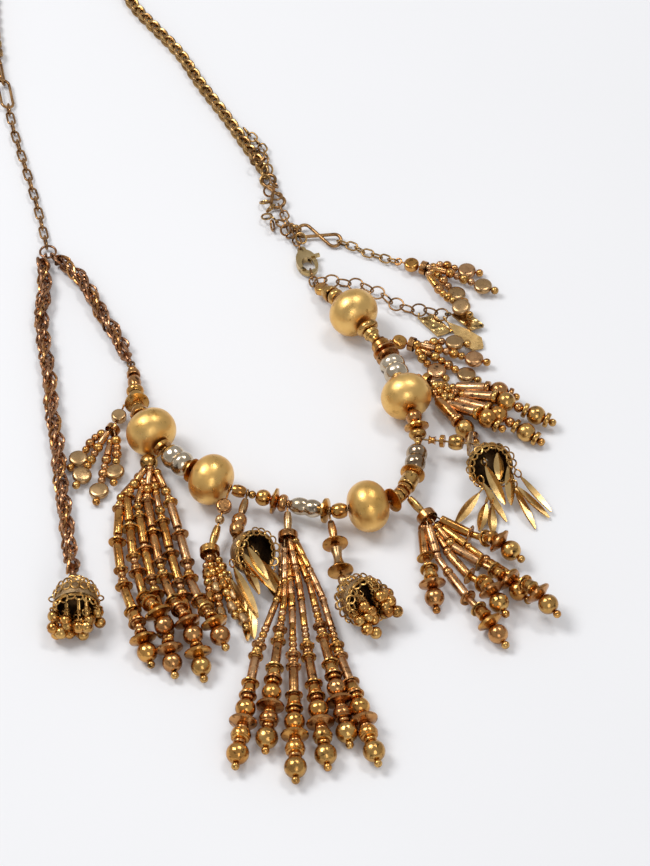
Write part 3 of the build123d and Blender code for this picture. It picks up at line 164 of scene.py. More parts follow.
# Metals by key: material, the record's slot, light tone, deep tone, dark specks,
# roughness, bump, features per metre of tones, specks and fine grain, then what differs from the usual
METAL_ROWS = {
    "satin": (
        "satin_gold", "satin_gold", (0.85, 0.54, 0.185), (0.74, 0.43, 0.12),
        (0.46, 0.24, 0.06), 0.35, 0.3, (60, 240, 700), {"patina": 0.41},
    ),
    "gold": (
        "antique_gold", "antique_gold", (0.66, 0.39, 0.125), (0.40, 0.205, 0.058),
        (0.045, 0.02, 0.008), 0.21, 0.6, (170, 520, 500), {},
    ),
    "amber": (
        "amber_gold", "antique_gold", (0.68, 0.36, 0.10), (0.40, 0.165, 0.04),
        (0.05, 0.018, 0.006), 0.17, 0.5, (170, 520, 500), {},
    ),
    "copper": (
        "copper_gold", "copper_gold", (0.60, 0.31, 0.115), (0.34, 0.145, 0.048),
        (0.04, 0.016, 0.008), 0.19, 0.5, (160, 520, 500), {},
    ),
    "bronze": (
        "old_bronze", "antique_gold", (0.48, 0.295, 0.125), (0.25, 0.13, 0.048),
        (0.03, 0.017, 0.009), 0.25, 0.6, (160, 600, 600), {},
    ),
    "pink": (
        "pink_copper", "copper_gold", (0.62, 0.355, 0.175), (0.42, 0.215, 0.09),
        (0.06, 0.028, 0.016), 0.25, 0.4, (140, 420, 500), {},
    ),
    "silver": (
        "pale_bronze", "silver_bronze", (0.66, 0.56, 0.42), (0.40, 0.30, 0.19),
        (0.07, 0.045, 0.028), 0.19, 0.6, (130, 160, 95), {"depth": 0.001},
    ),
    "dusk": (
        "dark_silver", "silver_bronze", (0.46, 0.35, 0.24), (0.25, 0.165, 0.095),
        (0.04, 0.025, 0.015), 0.15, 0.6, (130, 160, 95), {"depth": 0.001},
    ),
    "chain": (
        "brown_chain", "brown_chain", (0.44, 0.245, 0.10), (0.23, 0.118, 0.045),
        (0.03, 0.016, 0.008), 0.26, 0.2, (150, 420, 500), {},
    ),
    "back": (
        "gold_chain", "antique_gold", (0.54, 0.335, 0.13), (0.32, 0.18, 0.06),
        (0.04, 0.022, 0.01), 0.23, 0.2, (150, 420, 500), {},
    ),
    "rope": (
        "rope_copper", "rope_copper", (0.46, 0.24, 0.125), (0.25, 0.12, 0.06),
        (0.035, 0.016, 0.01), 0.25, 0.2, (150, 420, 500), {"patina": 0.43},
    ),
    "olive": (
        "olive_brass", "olive_brass", (0.68, 0.50, 0.25), (0.48, 0.335, 0.14),
        (0.06, 0.04, 0.02), 0.22, 0.2, (140, 420, 420), {"patina": 0.42},
    ),
    "pale": (
        "pale_brass", "pale_brass", (0.55, 0.355, 0.175), (0.40, 0.24, 0.105),
        (0.12, 0.06, 0.03), 0.28, 0.25, (110, 300, 420), {"patina": 0.41},
    ),
    "leaf": (
        "leaf_brass", "antique_gold", (0.74, 0.49, 0.20), (0.54, 0.33, 0.12),
        (0.16, 0.085, 0.03), 0.25, 0.15, (170, 240, 260), {"patina": 0.36},
    ),
    "hammered": (
        "hammered_gold", "antique_gold", (0.64, 0.42, 0.165), (0.40, 0.24, 0.085),
        (0.04, 0.022, 0.01), 0.22, 0.4, (170, 420, 600), {"dents": 520},
    ),
    "stipple": (
        "stippled_brass", "antique_gold", (0.42, 0.29, 0.15), (0.26, 0.16, 0.08),
        (0.05, 0.028, 0.014), 0.32, 1.0, (170, 800, 2600), {},
    ),
    # Inside of the bell domes: a near-black metal as painted shade in the hollow
    "painted_shade": (
        "bell_inside_shade", "antique_gold", (0.16, 0.095, 0.045), (0.07, 0.04, 0.02),
        (0.015, 0.008, 0.005), 0.45, 0.6, (170, 700, 900), {},
    ),
    "thread": (
        "brown_wire", "thread_brown", (0.22, 0.13, 0.06), (0.12, 0.065, 0.03),
        (0.03, 0.016, 0.01), 0.3, 0.3, (120, 700, 900), {},
    ),
}
METALS = {}
for key, (name, slot, light, deep, dark, roughness, bump, scales, others) in METAL_ROWS.items():
    METALS[key] = metal(name, light, deep, dark, roughness, bump, scales, **others)


class Piece:
    """One mesh gathered from many small shapes, each with its own metal."""

    def __init__(self):
        self.points = []
        self.faces = []
        self.choices = []
        self.metals = []
        self.count = 0

    def add(self, shape, metal_name, origin=(0, 0, 0), turn=None, scale=1.0):
        """Take in a shape's points and faces, scaled, turned and moved to its place."""
        points, faces = shape
        points = np.asarray(points, float) * scale
        if turn is not None:
            points = points @ np.array(turn).T
        self.points.append(points + np.array(origin, float))
        if metal_name not in self.metals:
            self.metals.append(metal_name)
        choice = self.metals.index(metal_name)
        self.faces += [tuple(i + self.count for i in face) for face in faces]
        self.choices += [choice] * len(faces)
        self.count += len(points)

    def build(self, name, body, replaced=(), sharp=38):
        """Make the object, let it ride on its body, and hide the CAD nodes it stands for."""
        mesh = bpy.data.meshes.new(name)
        mesh.from_pydata((np.vstack(self.points) * MM).tolist(), [], self.faces)
        for metal_name in self.metals:
            mesh.materials.append(METALS[metal_name])
        mesh.polygons.foreach_set("material_index", self.choices)
        mesh.polygons.foreach_set("use_smooth", [True] * len(self.faces))
        mesh.set_sharp_from_angle(angle=math.radians(sharp))
        mesh.update()
        piece = bpy.data.objects.new(name, mesh)
        bpy.context.scene.collection.objects.link(piece)
        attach(piece, body)
        if replaced:
            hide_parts(*replaced)


def facing(axis, roll=0.0):
    """Turn that takes +Z to an axis, with +X level, then rolled about the axis."""
    axis = Vector(axis).normalized()
    level = UP.cross(axis)
    if level.length < 1e-6:
        level = Vector((1, 0, 0))
    level.normalize()
    turn = Matrix((level, axis.cross(level), axis)).transposed()
    return turn @ Matrix.Rotation(roll, 3, "Z")


def lathe(outline, segments=26):
    """Turned shape from (height, radius) pairs, closed at both ends."""
    points = []
    for height, radius in outline:
        for k in range(segments):
            angle = 2 * math.pi * k / segments
            points.append((radius * math.cos(angle), radius * math.sin(angle), height))
    faces = []
    for row in range(len(outline) - 1):
        for k in range(segments):
            a, b = row * segments + k, row * segments + (k + 1) % segments
            faces.append((a, b, b + segments, a + segments))
    faces.append(tuple(reversed(range(segments))))
    faces.append(tuple(range((len(outline) - 1) * segments, len(outline) * segments)))
    return points, faces


def swept(path, radius, sides=8, closed=False):
    """Round wire along points, its section turned without twist."""
    path = [Vector(p) for p in path]
    count = len(path)
    points, faces = [], []
    side = None
    for i, point in enumerate(path):
        before = path[i - 1] if i or closed else path[0]
        after = path[(i + 1) % count] if i < count - 1 or closed else path[-1]
        way = (after - before).normalized()
        if side is None:
            side = way.orthogonal().normalized()
        side = (side - way * side.dot(way)).normalized()
        other = way.cross(side)
        thick = radius[i] if isinstance(radius, (list, tuple)) else radius
        for k in range(sides):
            angle = 2 * math.pi * k / sides
            points.append(point + (side * math.cos(angle) + other * math.sin(angle)) * thick)
    last = count if closed else count - 1
    for i in range(last):
        for k in range(sides):
            a, b = i * sides + k, i * sides + (k + 1) % sides
            c, d = (i + 1) % count * sides + (k + 1) % sides, (i + 1) % count * sides + k
            faces.append((a, b, c, d))
    if not closed:
        faces.append(tuple(reversed(range(sides))))
        faces.append(tuple(range((count - 1) * sides, count * sides)))
    return [tuple(p) for p in points], faces


def oval(length, width, wire, around=20, sides=8):
    """Closed wire link in the XZ plane, its long side along Z, its middle at the origin."""
    path = []
    for k in range(around):
        angle = 2 * math.pi * k / around
        path.append((width / 2 * math.cos(angle), 0, length / 2 * math.sin(angle)))
    return swept(path, wire, sides, closed=True)


# Half outlines of beads, as shares of length and radius
PROFILES = {
    "drum": [
        (-0.5, 0.45), (-0.5, 0.82), (-0.45, 0.95), (-0.36, 1), (0, 1.02),
        (0.36, 1), (0.45, 0.95), (0.5, 0.82), (0.5, 0.45),
    ],
    "tube": [
        (-0.5, 0.5), (-0.5, 0.88), (-0.485, 0.97), (-0.46, 1),
        (0.46, 1), (0.485, 0.97), (0.5, 0.88), (0.5, 0.5),
    ],
    "lens": [
        (-0.5, 0.2), (-0.5, 0.4), (-0.3, 0.66), (-0.14, 0.95), (0, 1.0),
        (0.14, 0.95), (0.3, 0.66), (0.5, 0.4), (0.5, 0.2),
    ],
    "saucer": [
        (-0.5, 0.2), (-0.46, 0.5), (-0.2, 0.9), (0, 1.0), (0.25, 0.97),
        (0.36, 0.9), (0.2, 0.6), (0.5, 0.45), (0.5, 0.2),
    ],
    "ribbed": [
        (-0.5, 0.4), (-0.5, 0.72), (-0.42, 0.86), (-0.3, 0.9), (-0.26, 0.84), (-0.22, 0.92), (0, 1.0),
        (0.22, 0.92), (0.26, 0.84), (0.3, 0.9), (0.42, 0.86), (0.5, 0.72), (0.5, 0.4),
    ],
    "split": [
        (-0.5, 0.15), (-0.47, 0.36), (-0.36, 0.7), (-0.2, 0.92), (-0.06, 0.995), (-0.045, 0.9),
        (0.045, 0.9), (0.06, 0.995), (0.2, 0.92), (0.36, 0.7), (0.47, 0.36), (0.5, 0.15),
    ],
    "nugget": [(-0.5, 0.3), (-0.45, 0.7), (-0.2, 0.96), (0.05, 0.92), (0.3, 1.0), (0.46, 0.7), (0.5, 0.3)],
}

# Beads of the strands: outline, length, diameter, and the metals they come in
STRAND_BEADS = {
    "tip": ("ball", 2.7, 3.0, ["gold", "amber"]),
    "ball": ("ball", 7.4, 8.0, ["gold", "amber", "gold"]),
    "small ball": ("ball", 6.8, 7.3, ["gold", "amber", "copper"]),
    "ring": ("drum", 1.4, 4.6, ["copper", "amber"]),
    "ribbed drum": ("ribbed", 4.2, 7.3, ["gold", "amber", "copper"]),
    "rondelle": ("lens", 3.8, 10.0, ["copper", "amber", "copper"]),
    "disc": ("saucer", 1.2, 6.6, ["amber", "gold", "copper"]),
    "bead": ("nugget", 4.6, 5.3, ["gold", "amber"]),
    "round": ("ball", 3.4, 3.8, ["amber", "copper", "gold"]),
    "seed": ("ball", 2.5, 3.0, ["copper", "pink", "amber", "gold"]),
    "washer": ("saucer", 1.8, 5.6, ["copper", "amber"]),
    "tube": ("tube", 11.2, 3.5, ["pink", "copper", "amber", "pink"]),
    "bugle": ("tube", 5.4, 2.6, ["copper", "pink", "amber"]),
    "pipe": ("tube", 11.2, 4.2, ["pink", "copper", "amber"]),
    "wheel": ("drum", 1.8, 5.5, ["copper", "gold"]),
    "coin": ("coin", 7.1, 7.3, ["pale", "pale", "pink"]),
    "nugget": ("nugget", 4.6, 4.1, ["gold", "amber", "pale"]),
}
coin_thickness = 2.4


def bead_shape(outline, length, diameter):
    """Turned bead about the origin, with its bore along Z."""
    half = diameter / 2
    if outline == "ball":
        steps = 10
        end = max(math.sqrt(max(half**2 - (length / 2) ** 2, 0)), 0.3 * half)
        tilt = math.asin(min(end / half, 1))
        turns = [tilt + (math.pi - 2 * tilt) * t / steps for t in range(steps + 1)]
        span = length / 2 / math.cos(tilt)
        rows = [(-math.cos(a) * span, math.sin(a) * half) for a in turns]
        return lathe([(rows[0][0], end * 0.4)] + rows + [(rows[-1][0], end * 0.4)])
    return lathe([(z * length, r * half) for z, r in PROFILES[outline]])


def coin_shape(length, diameter, thickness):
    """Flat round pearl drilled across: its faces up and down, its bore along Z."""
    half, level = diameter / 2, thickness / 2
    side = [(level, half * 0.62), (level * 0.9, half * 0.86), (level * 0.6, half * 0.96), (0, half)]
    outline = [(-level * 1.02, 0.05)] + [(-z, r) for z, r in side] + side[2::-1] + [(level * 1.02, 0.05)]
    points, faces = lathe(outline, 30)
    return [(x, z, y * length / diameter) for x, y, z in points], [tuple(reversed(face)) for face in faces]


SHAPES = {}
for kind, (outline, length, diameter, _) in STRAND_BEADS.items():
    if outline == "coin":
        SHAPES[kind] = coin_shape(length, diameter, coin_thickness)
    else:
        SHAPES[kind] = bead_shape(outline, length, diameter)


# Tassels: head's bead length, its middle, its height, the heading of its strands, the room for its strands,
# and the head's metal
HEADS = {
    "tassel_centre": (3.2, (46.9, -171.9), 4.4, -88.0, 7.2, "copper"),
    "tassel_left_long": (6.0, (-3.4, -138.0), 4.8, -84.0, 6.6, "gold"),
    "tassel_right_low": (3.2, (96.3, -162.8), 4.4, -58.0, 7.2, "copper"),
    "tassel_right_tube": (2.4, (97.0, -98.9), 5.0, -36.0, 5.4, "amber"),
    "tassel_right_coin": (2.4, (92.1, -81.0), 4.6, -24.0, 5.4, "copper"),
    "tassel_top_coin": (2.4, (97.2, -41.8), 3.4, -24.0, 5.4, "copper"),
    "tassel_left_coin": (2.4, (-17.0, -121.8), 4.0, -120.0, 5.4, "copper"),
    "tassel_small": (3.2, (19.3, -178.5), 4.4, -86.0, 7.2, "amber"),
}
strand_row_height = 1.27
strand_row_spacing = 1.63
strand_margin = 2.4
knee_height = 3.6
floor_gap = 0.3
core_overlap = 0.4
head_cut = 0.1
thread_radius = 0.3
coin_lying_height = 3.0
bead_sizes = (0.965, 1.01)
coin_roll = 0.16

# Kinds of strand: beads from the tip upwards, the second one placed by the route, then beads that fill it
STRAND_KINDS = {
    "long": (
        ["tip", "ball", "ring", "ribbed drum", "ring", "rondelle", "small ball", "ring", "disc", "bead",
         "disc", "tube", "washer", "round", "washer", "seed", "seed", "seed"],
        ["bugle", "bugle", "seed"],
    ),
    "crowded": (
        ["tip", "small ball", "rondelle", "ring", "round", "disc", "bead", "disc", "tube", "disc", "round",
         "seed", "washer", "tube", "disc", "seed", "tube", "washer"],
        ["seed", "round", "bugle"],
    ),
    "low": (
        ["tip", "small ball", "rondelle", "bead", "disc", "bugle", "disc"],
        ["tube", "round", "bugle", "seed"],
    ),
    "two balls": (
        ["tip", "wheel", "small ball", "wheel", "round", "small ball", "wheel", "pipe"],
        ["seed", "round"],
    ),
    "one ball": (["tip", "wheel", "small ball", "wheel", "pipe"], ["seed", "round"]),
    "coin": (["tip", "coin", "seed", "round"], ["seed", "round", "bugle"]),
    "nuggets": (["tip", "nugget", "seed", "round", "nugget"], ["seed", "round"]),
}

# Strands of each tassel: kind, lift of the lower end, then the points below the head that it runs through
STRANDS = {
    "tassel_centre": [
        ("long", 0, [(44.6, -194.4), (36.4, -221.6), (30.4, -265.3)]),
        ("long", 0, [(45.8, -198.9), (43.4, -220.7), (40.2, -258.8)]),
        ("long", 0, [(48.5, -201.1), (50.0, -271.0)]),
        ("long", 0, [(51.2, -194.4), (54.1, -222.9), (60.2, -265.7)]),
        ("long", 0, [(54.6, -192.2), (59.5, -216.4), (67.4, -256.5)]),
        ("long", 0, [(58.8, -197.0), (65.0, -222.9), (76.6, -264.3)]),
    ],
    "tassel_left_long": [
        ("crowded", 0, [(-13.3, -153.4), (-13.6, -176.6), (-10.2, -195.3), (-1.6, -222.2)]),
        ("crowded", 4, [(-10.9, -152.5), (-7.9, -179.3), (-3.4, -198.4), (4.2, -213.7)]),
        ("crowded", 0, [(-7.2, -154.7), (-2.8, -182.0), (1.5, -200.2), (7.2, -226.6)]),
        ("crowded", 3, [(-3.7, -153.8), (0.8, -179.7), (5.6, -197.5), (14.2, -216.9)]),
        ("crowded", 0, [(-0.1, -153.8), (6.0, -181.1), (9.5, -194.4), (17.2, -228.2)]),
        ("crowded", 3, [(4.0, -152.8), (10.8, -178.8), (13.2, -194.7), (23.6, -217.2)]),
    ],
    "tassel_right_low": [
        ("low", 0, [(93.7, -174.3), (96.0, -182.0), (98.3, -198.3)]),
        ("low", 0, [(99.6, -180.2), (107.7, -195.3), (120.0, -214.3)]),
        ("low", 2, [(101.4, -172.9), (106.8, -185.7), (114.8, -191.7), (120.6, -202.1)]),
        ("low", 0, [(106.8, -178.3), (116.5, -183.9), (127.8, -195.3)]),
        ("low", 4, [(109.8, -174.6), (121.7, -186.4), (137.6, -204.3)]),
        ("low", 2, [(105.6, -167.0), (116.4, -171.9), (125.4, -179.0)]),
    ],
    "tassel_right_tube": [
        ("one ball", 2, [(108.7, -101.4), (127.6, -106.1)]),
        ("two balls", 1, [(109.5, -104.8), (124.5, -110.6), (140.6, -117.2)]),
        ("two balls", 0, [(107.9, -107.6), (123.7, -116.6), (136.4, -125.2)]),
        ("one ball", 3, [(106.0, -110.0), (122.4, -121.4)]),
        ("one ball", 0, [(102.6, -110.5), (113.2, -124.7)]),
    ],
    "tassel_right_coin": [
        ("coin", 2, [(100.4, -78.6), (107.9, -79.6)]),
        ("coin", 1, [(102.5, -82.8), (115.0, -86.8)]),
        ("coin", 0, [(101.8, -87.3), (112.0, -93.6)]),
        ("coin", 1, [(95.2, -86.6), (97.0, -90.0), (101.0, -92.7)]),
    ],
    "tassel_top_coin": [
        ("coin", 0, [(103.6, -39.6), (113.4, -41.8)]),
        ("coin", 1, [(104.2, -43.2), (119.2, -50.5)]),
        ("coin", 0, [(102.6, -45.6), (109.2, -53.6)]),
        ("coin", 3.6, [(99.3, -47.2), (104.0, -55.0), (110.7, -63.4)]),
    ],
    "tassel_left_coin": [
        ("coin", 0, [(-23.1, -124.4), (-29.1, -133.7)]),
        ("coin", 1, [(-21.4, -128.2), (-27.4, -142.3)]),
        ("coin", 0, [(-18.4, -132.3), (-21.1, -148.7)]),
        ("coin", 1, [(-15.0, -130.0), (-15.6, -140.6)]),
    ],
    "tassel_small": [
        ("nuggets", 0.6, [(19.0, -189.4), (19.6, -197.9)]),
        ("nuggets", 0, [(21.4, -191.5), (23.6, -204.3)]),
        ("nuggets", 1, [(23.8, -190.0), (27.6, -202.4)]),
        ("nuggets", 0.3, [(26.2, -191.3), (31.4, -207.0)]),
    ],
}


def heading(degrees, pitch=0.0):
    """Level direction turned from +X, then pitched up."""
    turn, rise = math.radians(degrees), math.radians(pitch)
    return Vector((math.cos(turn) * math.cos(rise), math.sin(turn) * math.cos(rise), math.sin(rise)))


def bead_length(kinds):
    """Length of a row of beads."""
    return sum(STRAND_BEADS[kind][1] for kind in kinds)


def heavy_count(ends):
    """How many beads from the tip upwards make up the heavy end that lies on its own slope."""
    heavy = [i for i, kind in enumerate(ends) if STRAND_BEADS[kind][2] / 2 > knee_height - floor_gap]
    return max(heavy[-1:] + [1]) + 1


def heavy_slope(ends):
    """Rise per length of the heavy end, steep enough to keep every bead off the surface."""
    centres = [bead_length(ends[:i]) + STRAND_BEADS[kind][1] / 2 for i, kind in enumerate(ends)]
    radii = [STRAND_BEADS[kind][2] / 2 for kind in ends]
    rises = [(radius - radii[1]) / (centre - centres[1]) for radius, centre in zip(radii[2:], centres[2:])]
    return max(rises + [0.0])


def strand_corners(start, kind, lift, route):
    """Corners of a strand from its head: knees, the top of its heavy end, and its tip."""
    ends = STRAND_KINDS[kind][0]
    outline, mark_length, mark_diameter, _ = STRAND_BEADS[ends[1]]
    if outline == "coin":
        mark_diameter = coin_lying_height
    below = bead_length(ends[:1]) + mark_length / 2
    heavy = bead_length(ends[:heavy_count(ends)])
    knees = [Vector((x, y, knee_height)) for x, y in route[:-1]]
    mark = Vector((*route[-1], mark_diameter / 2 + floor_gap + lift))
    while knees and (mark - knees[-1]).length < heavy - below + knee_height:
        knees.pop()
    before = (knees or [start])[-1]
    level = Vector((before.x - mark.x, before.y - mark.y, 0)).normalized()
    rise = level + UP * heavy_slope(ends)
    return [start] + knees + [mark + rise * (heavy - below), mark - rise * below]


def point_on(path, distance):
    """Point at a distance along straight runs."""
    for a, b in zip(path, path[1:]):
        span = (b - a).length
        if distance <= span or b is path[-1]:
            return a + (b - a).normalized() * distance
        distance -= span
    return path[-1]


def strung(piece, corners, ends, fill):
    """Beads of a strand, each turned to lie along the thread and a little different from the next."""
    room = sum((b - a).length for a, b in zip(corners, corners[1:]))
    kinds = []
    for i in range(len(ends) + int(room)):
        kind = ends[i] if i < len(ends) else fill[(i - len(ends)) % len(fill)]
        if bead_length(kinds) + STRAND_BEADS[kind][1] > room:
            break
        kinds.insert(0, kind)
    position = room - bead_length(kinds)
    piece.add(swept(corners, thread_radius, 8), "thread")
    tube_metal = dice.choice(STRAND_BEADS["tube"][3])
    for kind in kinds:
        outline, length, _, choices = STRAND_BEADS[kind]
        low, high = point_on(corners, position), point_on(corners, position + length)
        axis = high - low
        roll = 0.0 if outline == "coin" else dice.uniform(0, math.tau)
        turn = facing(axis, roll)
        if outline == "coin":
            turn = turn @ Matrix.Rotation(dice.uniform(-coin_roll, coin_roll), 3, "Z")
        chosen = tube_metal if kind == "tube" else dice.choice(choices)
        piece.add(SHAPES[kind], chosen, (low + high) / 2, turn, dice.uniform(*bead_sizes))
        position += length


def points_of(node):
    """Vertices of a CAD node, in metres."""
    vertices = nodes[node].data.vertices
    points = np.empty(len(vertices) * 3)
    vertices.foreach_get("co", points)
    return points.reshape(-1, 3)


def cad_part(piece, node, metal_name, origin, way, kept):
    """The node's own shape up to a distance along a way: a tassel's head, or a rope's end."""
    points = points_of(node) / MM
    near = (points - np.array(origin)) @ np.array(way) < kept
    faces = [tuple(p.vertices) for p in nodes[node].data.polygons if all(near[i] for i in p.vertices)]
    used = sorted({i for face in faces for i in face})
    renumber = {old: new for new, old in enumerate(used)}
    piece.add((points[used], [tuple(renumber[i] for i in face) for face in faces]), metal_name)


for name, (length, (x, y), z, degrees, width, head_metal) in HEADS.items():
    piece = Piece()
    way = heading(degrees)
    centre = Vector((x, y, z))
    cad_part(piece, name, head_metal, centre, way, length / 2 - head_cut)
    across = UP.cross(way).normalized()
    rows = STRANDS[name]
    middle = (len(rows) - 1) / 2
    spread = min(strand_row_spacing, (width - strand_margin) / len(rows))
    for i, (kind, lift, route) in enumerate(rows):
        row = strand_row_height * (1 if i % 2 else -1)
        start = centre + way * (length / 2 - core_overlap) + across * ((i - middle) * spread) + UP * row
        ends, fill = STRAND_KINDS[kind]
        strung(piece, strand_corners(start, kind, lift, route), ends, fill)
    piece.build(name + "_beads", "necklace", [name])


# Rope chains: long oval links laid round the middle line in two opposite rows
rope_pitch = 1.75
rope_turn = math.radians(180 + 32)
rope_link_length = 7.8
rope_link_width = 2.9
rope_link_wire = 0.56
rope_link_out = 1.15
rope_height = 3.15
rope_end_kept = 0.8
rope_link_sizes = (0.96, 1.0)

# Shares of each link's direction: along the rope, round it and away from it
rope_lay = (0.88, 0.45, 0.12)

# Chosen points of each rope chain, and the rise of its last one
ROPES = {
    "rope_chain_side": ([
        (-40.4, -37.3), (-36.6, -41.0), (-31.2, -47.9), (-26.6, -57.0), (-22.3, -66.2), (-17.6, -74.8),
        (-13.4, -85.2),
    ], 0.0),
    "rope_chain_hanging": ([
        (-46.6, -38.0), (-45.6, -44.2), (-44.9, -53.1), (-45.7, -64.7), (-44.4, -76.1), (-42.7, -87.4),
        (-40.9, -99.3), (-39.6, -111.6), (-37.6, -124.0), (-36.2, -134.8), (-34.6, -146.9), (-32.9, -159.4),
        (-31.0, -171.2), (-29.9, -179.0), (-28.9, -186.6),
    ], 2.4),
}


def smooth_curve(points, steps=12):
    """Dense points along a smooth curve through the chosen ones."""
    padded = [points[0] * 2 - points[1]] + points + [points[-1] * 2 - points[-2]]
    dense = []
    for a, b, c, d in zip(padded, padded[1:], padded[2:], padded[3:]):
        for step in range(steps):
            t = step / steps
            dense.append((b * 2 + (c - a) * t + (a * 2 - b * 5 + c * 4 - d) * t**2
                          + (b * 3 - a - c * 3 + d) * t**3) * 0.5)
    return dense + [points[-1]]


for name, (route, end_lift) in ROPES.items():
    piece = Piece()
    points = [Vector((x, y, rope_height)) for x, y in route]
    points[-1] = points[-1] + UP * end_lift
    curve = smooth_curve(points)
    length = sum((b - a).length for a, b in zip(curve, curve[1:]))
    link = oval(rope_link_length, rope_link_width, rope_link_wire, 18, 7)
    for i in range(int(length / rope_pitch)):
        here = point_on(curve, (i + 0.5) * rope_pitch)
        ahead = point_on(curve, (i + 0.5) * rope_pitch + 0.5)
        along = (ahead - here).normalized()
        level = UP.cross(along).normalized()
        angle = i * rope_turn
        out = level * math.cos(angle) + along.cross(level) * math.sin(angle)
        round_ = along.cross(out)
        long_way = (along * rope_lay[0] + round_ * rope_lay[1] + out * rope_lay[2]).normalized()
        face = (out - long_way * out.dot(long_way)).normalized()
        turn = Matrix((face.cross(long_way), face, long_way)).transposed()
        metal_name = "rope" if i % 4 else "copper"
        piece.add(link, metal_name, here + out * rope_link_out, turn, dice.uniform(*rope_link_sizes))
    cad_part(piece, name, "rope", points[0], (points[1] - points[0]).normalized(), rope_end_kept)
    cad_part(piece, name, "rope", points[-1], (points[-2] - points[-1]).normalized(), rope_end_kept)
    piece.build(name + "_links", "necklace", [name])


# Bells: dome with a stippled rim, rings on the rim, and leaves or small balls on them
bell_radius = 8.2
bell_wall = 1.0
bell_skirt = 1.6
bell_lift = 0.45
bell_height = bell_radius + bell_lift + floor_gap

# Bells: heading of the apex, its pitch, and the middle of the rim
BELLS = {
    "bell_leaf_right": (102, 4, (119.0, -142.4)),
    "bell_ball_right": (136, -12, (73.0, -203.4)),
    "bell_leaf_left": (138, 6, (34.6, -182.6)),
    "bell_rope": (92, 0, (-26.6, -204.6)),
}

# Bells whose mouth is turned up towards the light: pitch of the apex
MOUTH_PITCH = {"bell_leaf_right": -38, "bell_leaf_left": -40, "bell_ball_right": -32}

# Rim of a bell: its dome starts this high and this far in, and its band has a groove
dome_start = 0.2
dome_inset = 0.2
groove_shares = (0.7, 0.55)
groove_depth = 0.25
dome_steps = 16
bell_segments = 48

# Wire that goes in at the top of the dome
bow_wire = 0.4
bow_rise = 1.6
bow_gap = 0.9
hole_depth = 0.4

# Hoop inside the rim, and the rings on it and on the dome
fringe_gap = 0.6
hoop_wire = 0.45
hoop_inset = 0.5
hoop_steps = 40
bell_ring_width = 2.9
bell_ring_wire = 0.3
dome_ring_gap = 0.1
rim_ring_count = 18
rim_ring_drop = 0.9
rim_ring_roll = 0.4
highest_ring = 16.9

# Balls: they spread over the mouth, hang down and are pressed onto the pile on the floor
ball_size = 4.6
ball_count = 26
ball_drop = (1.5, 9.0)
ball_spread = 1.1
ball_shares = (0.05, 1)
ball_scales = (0.88, 1.0)
ball_metals = ["gold", "amber", "gold"]
ball_wire = 0.3
ball_wire_start = 0.9
ball_ring_scale = 0.8
pile_height = 2.5
pile_press = 0.5

# Leaves: each may be rolled this far, and has a ring this far behind its eye
leaf_roll = 0.6
leaf_ring_gap = 0.6
leaf_ring_roll = 1.2

# Rows of rings on the outside of a bell with balls: angle above the rim, and how many
RING_ROWS = ((12, 16), (34, 14), (55, 10), (73, 5))

# Leaves: pixel and height of the eye, pixel and height of the tip
LEAVES = {
    "bell_leaf_right": [
        (478, 490, 6.0, 452, 523, 1.2), (484, 500, 3.0, 476, 529, 1.2), (489, 502, 3.2, 489, 533, 1.0),
        (479, 480, 8.0, 503, 520, 1.4), (482, 463, 10.5, 502, 503, 4.0), (495, 450, 13.0, 497, 479, 8.0),
        (506, 462, 10.0, 508, 504, 3.0), (510, 482, 5.0, 531, 527, 1.0), (512, 484, 6.0, 545, 516, 1.4),
        (516, 474, 8.0, 547, 510, 2.2),
    ],
    "bell_leaf_left": [
        (236, 560, 9.5, 261, 610, 4.0), (241, 545, 12.5, 277, 586, 7.0), (259, 552, 9.5, 290, 593, 1.5),
        (249, 541, 12.5, 270, 574, 8.5), (247, 590, 4.0, 251, 632, 1.0), (233, 572, 7.0, 255, 611, 2.0),
        (252, 592, 4.0, 257, 630, 1.2), (244, 550, 11.0, 262, 588, 5.0), (254, 547, 10.0, 281, 590, 3.0),
        (262, 560, 7.0, 284, 598, 1.0),
    ],
}


def bell_shell(radius, low, trim=()):
    """Open dome about its rim's middle, apex up, after the trim of its rim."""
    rows = list(trim) + [(low, radius)]
    for step in range(1, dome_steps):
        angle = math.radians(90 * step / dome_steps)
        rows.append((math.sin(angle) * radius, math.cos(angle) * radius))
    points, faces = lathe(rows, bell_segments)
    return points, faces[:-2]


def leaf_shape(length, width=3.7, fold=0.6, thick=0.4, bow=0.9, start=0.9, blunt=0.03, fullness=0.8):
    """Narrow leaf along +Z from its eye, creased along its middle, its back a little bowed."""
    rows, columns = 14, 6
    points, faces = [], []
    for side in (0, 1):
        for i in range(rows + 1):
            t = i / rows
            half = width / 2 * math.sin(math.pi * (t * (1 - 2 * blunt) + blunt)) ** fullness
            for k in range(columns + 1):
                s = 2 * k / columns - 1
                depth = abs(s) * half * fold - bow * math.sin(math.pi * t)
                points.append((s * half, depth - side * thick, start + t * (length - start)))
    grid = (rows + 1) * (columns + 1)
    for i in range(rows):
        for k in range(columns):
            a = i * (columns + 1) + k
            b, c, d = a + 1, a + columns + 2, a + columns + 1
            faces.append((a, b, c, d))
            faces.append((a + grid, d + grid, c + grid, b + grid))
    for i in range(rows):
        for k in (0, columns):
            a, d = i * (columns + 1) + k, (i + 1) * (columns + 1) + k
            faces.append((a, d, d + grid, a + grid) if k == 0 else (a, a + grid, d + grid, d))
    return points, faces


def about(axis, turn):
    """Direction square to an axis, turned about it from the level one."""
    level = UP.cross(axis).normalized()
    return level * math.cos(turn) + axis.cross(level) * math.sin(turn)


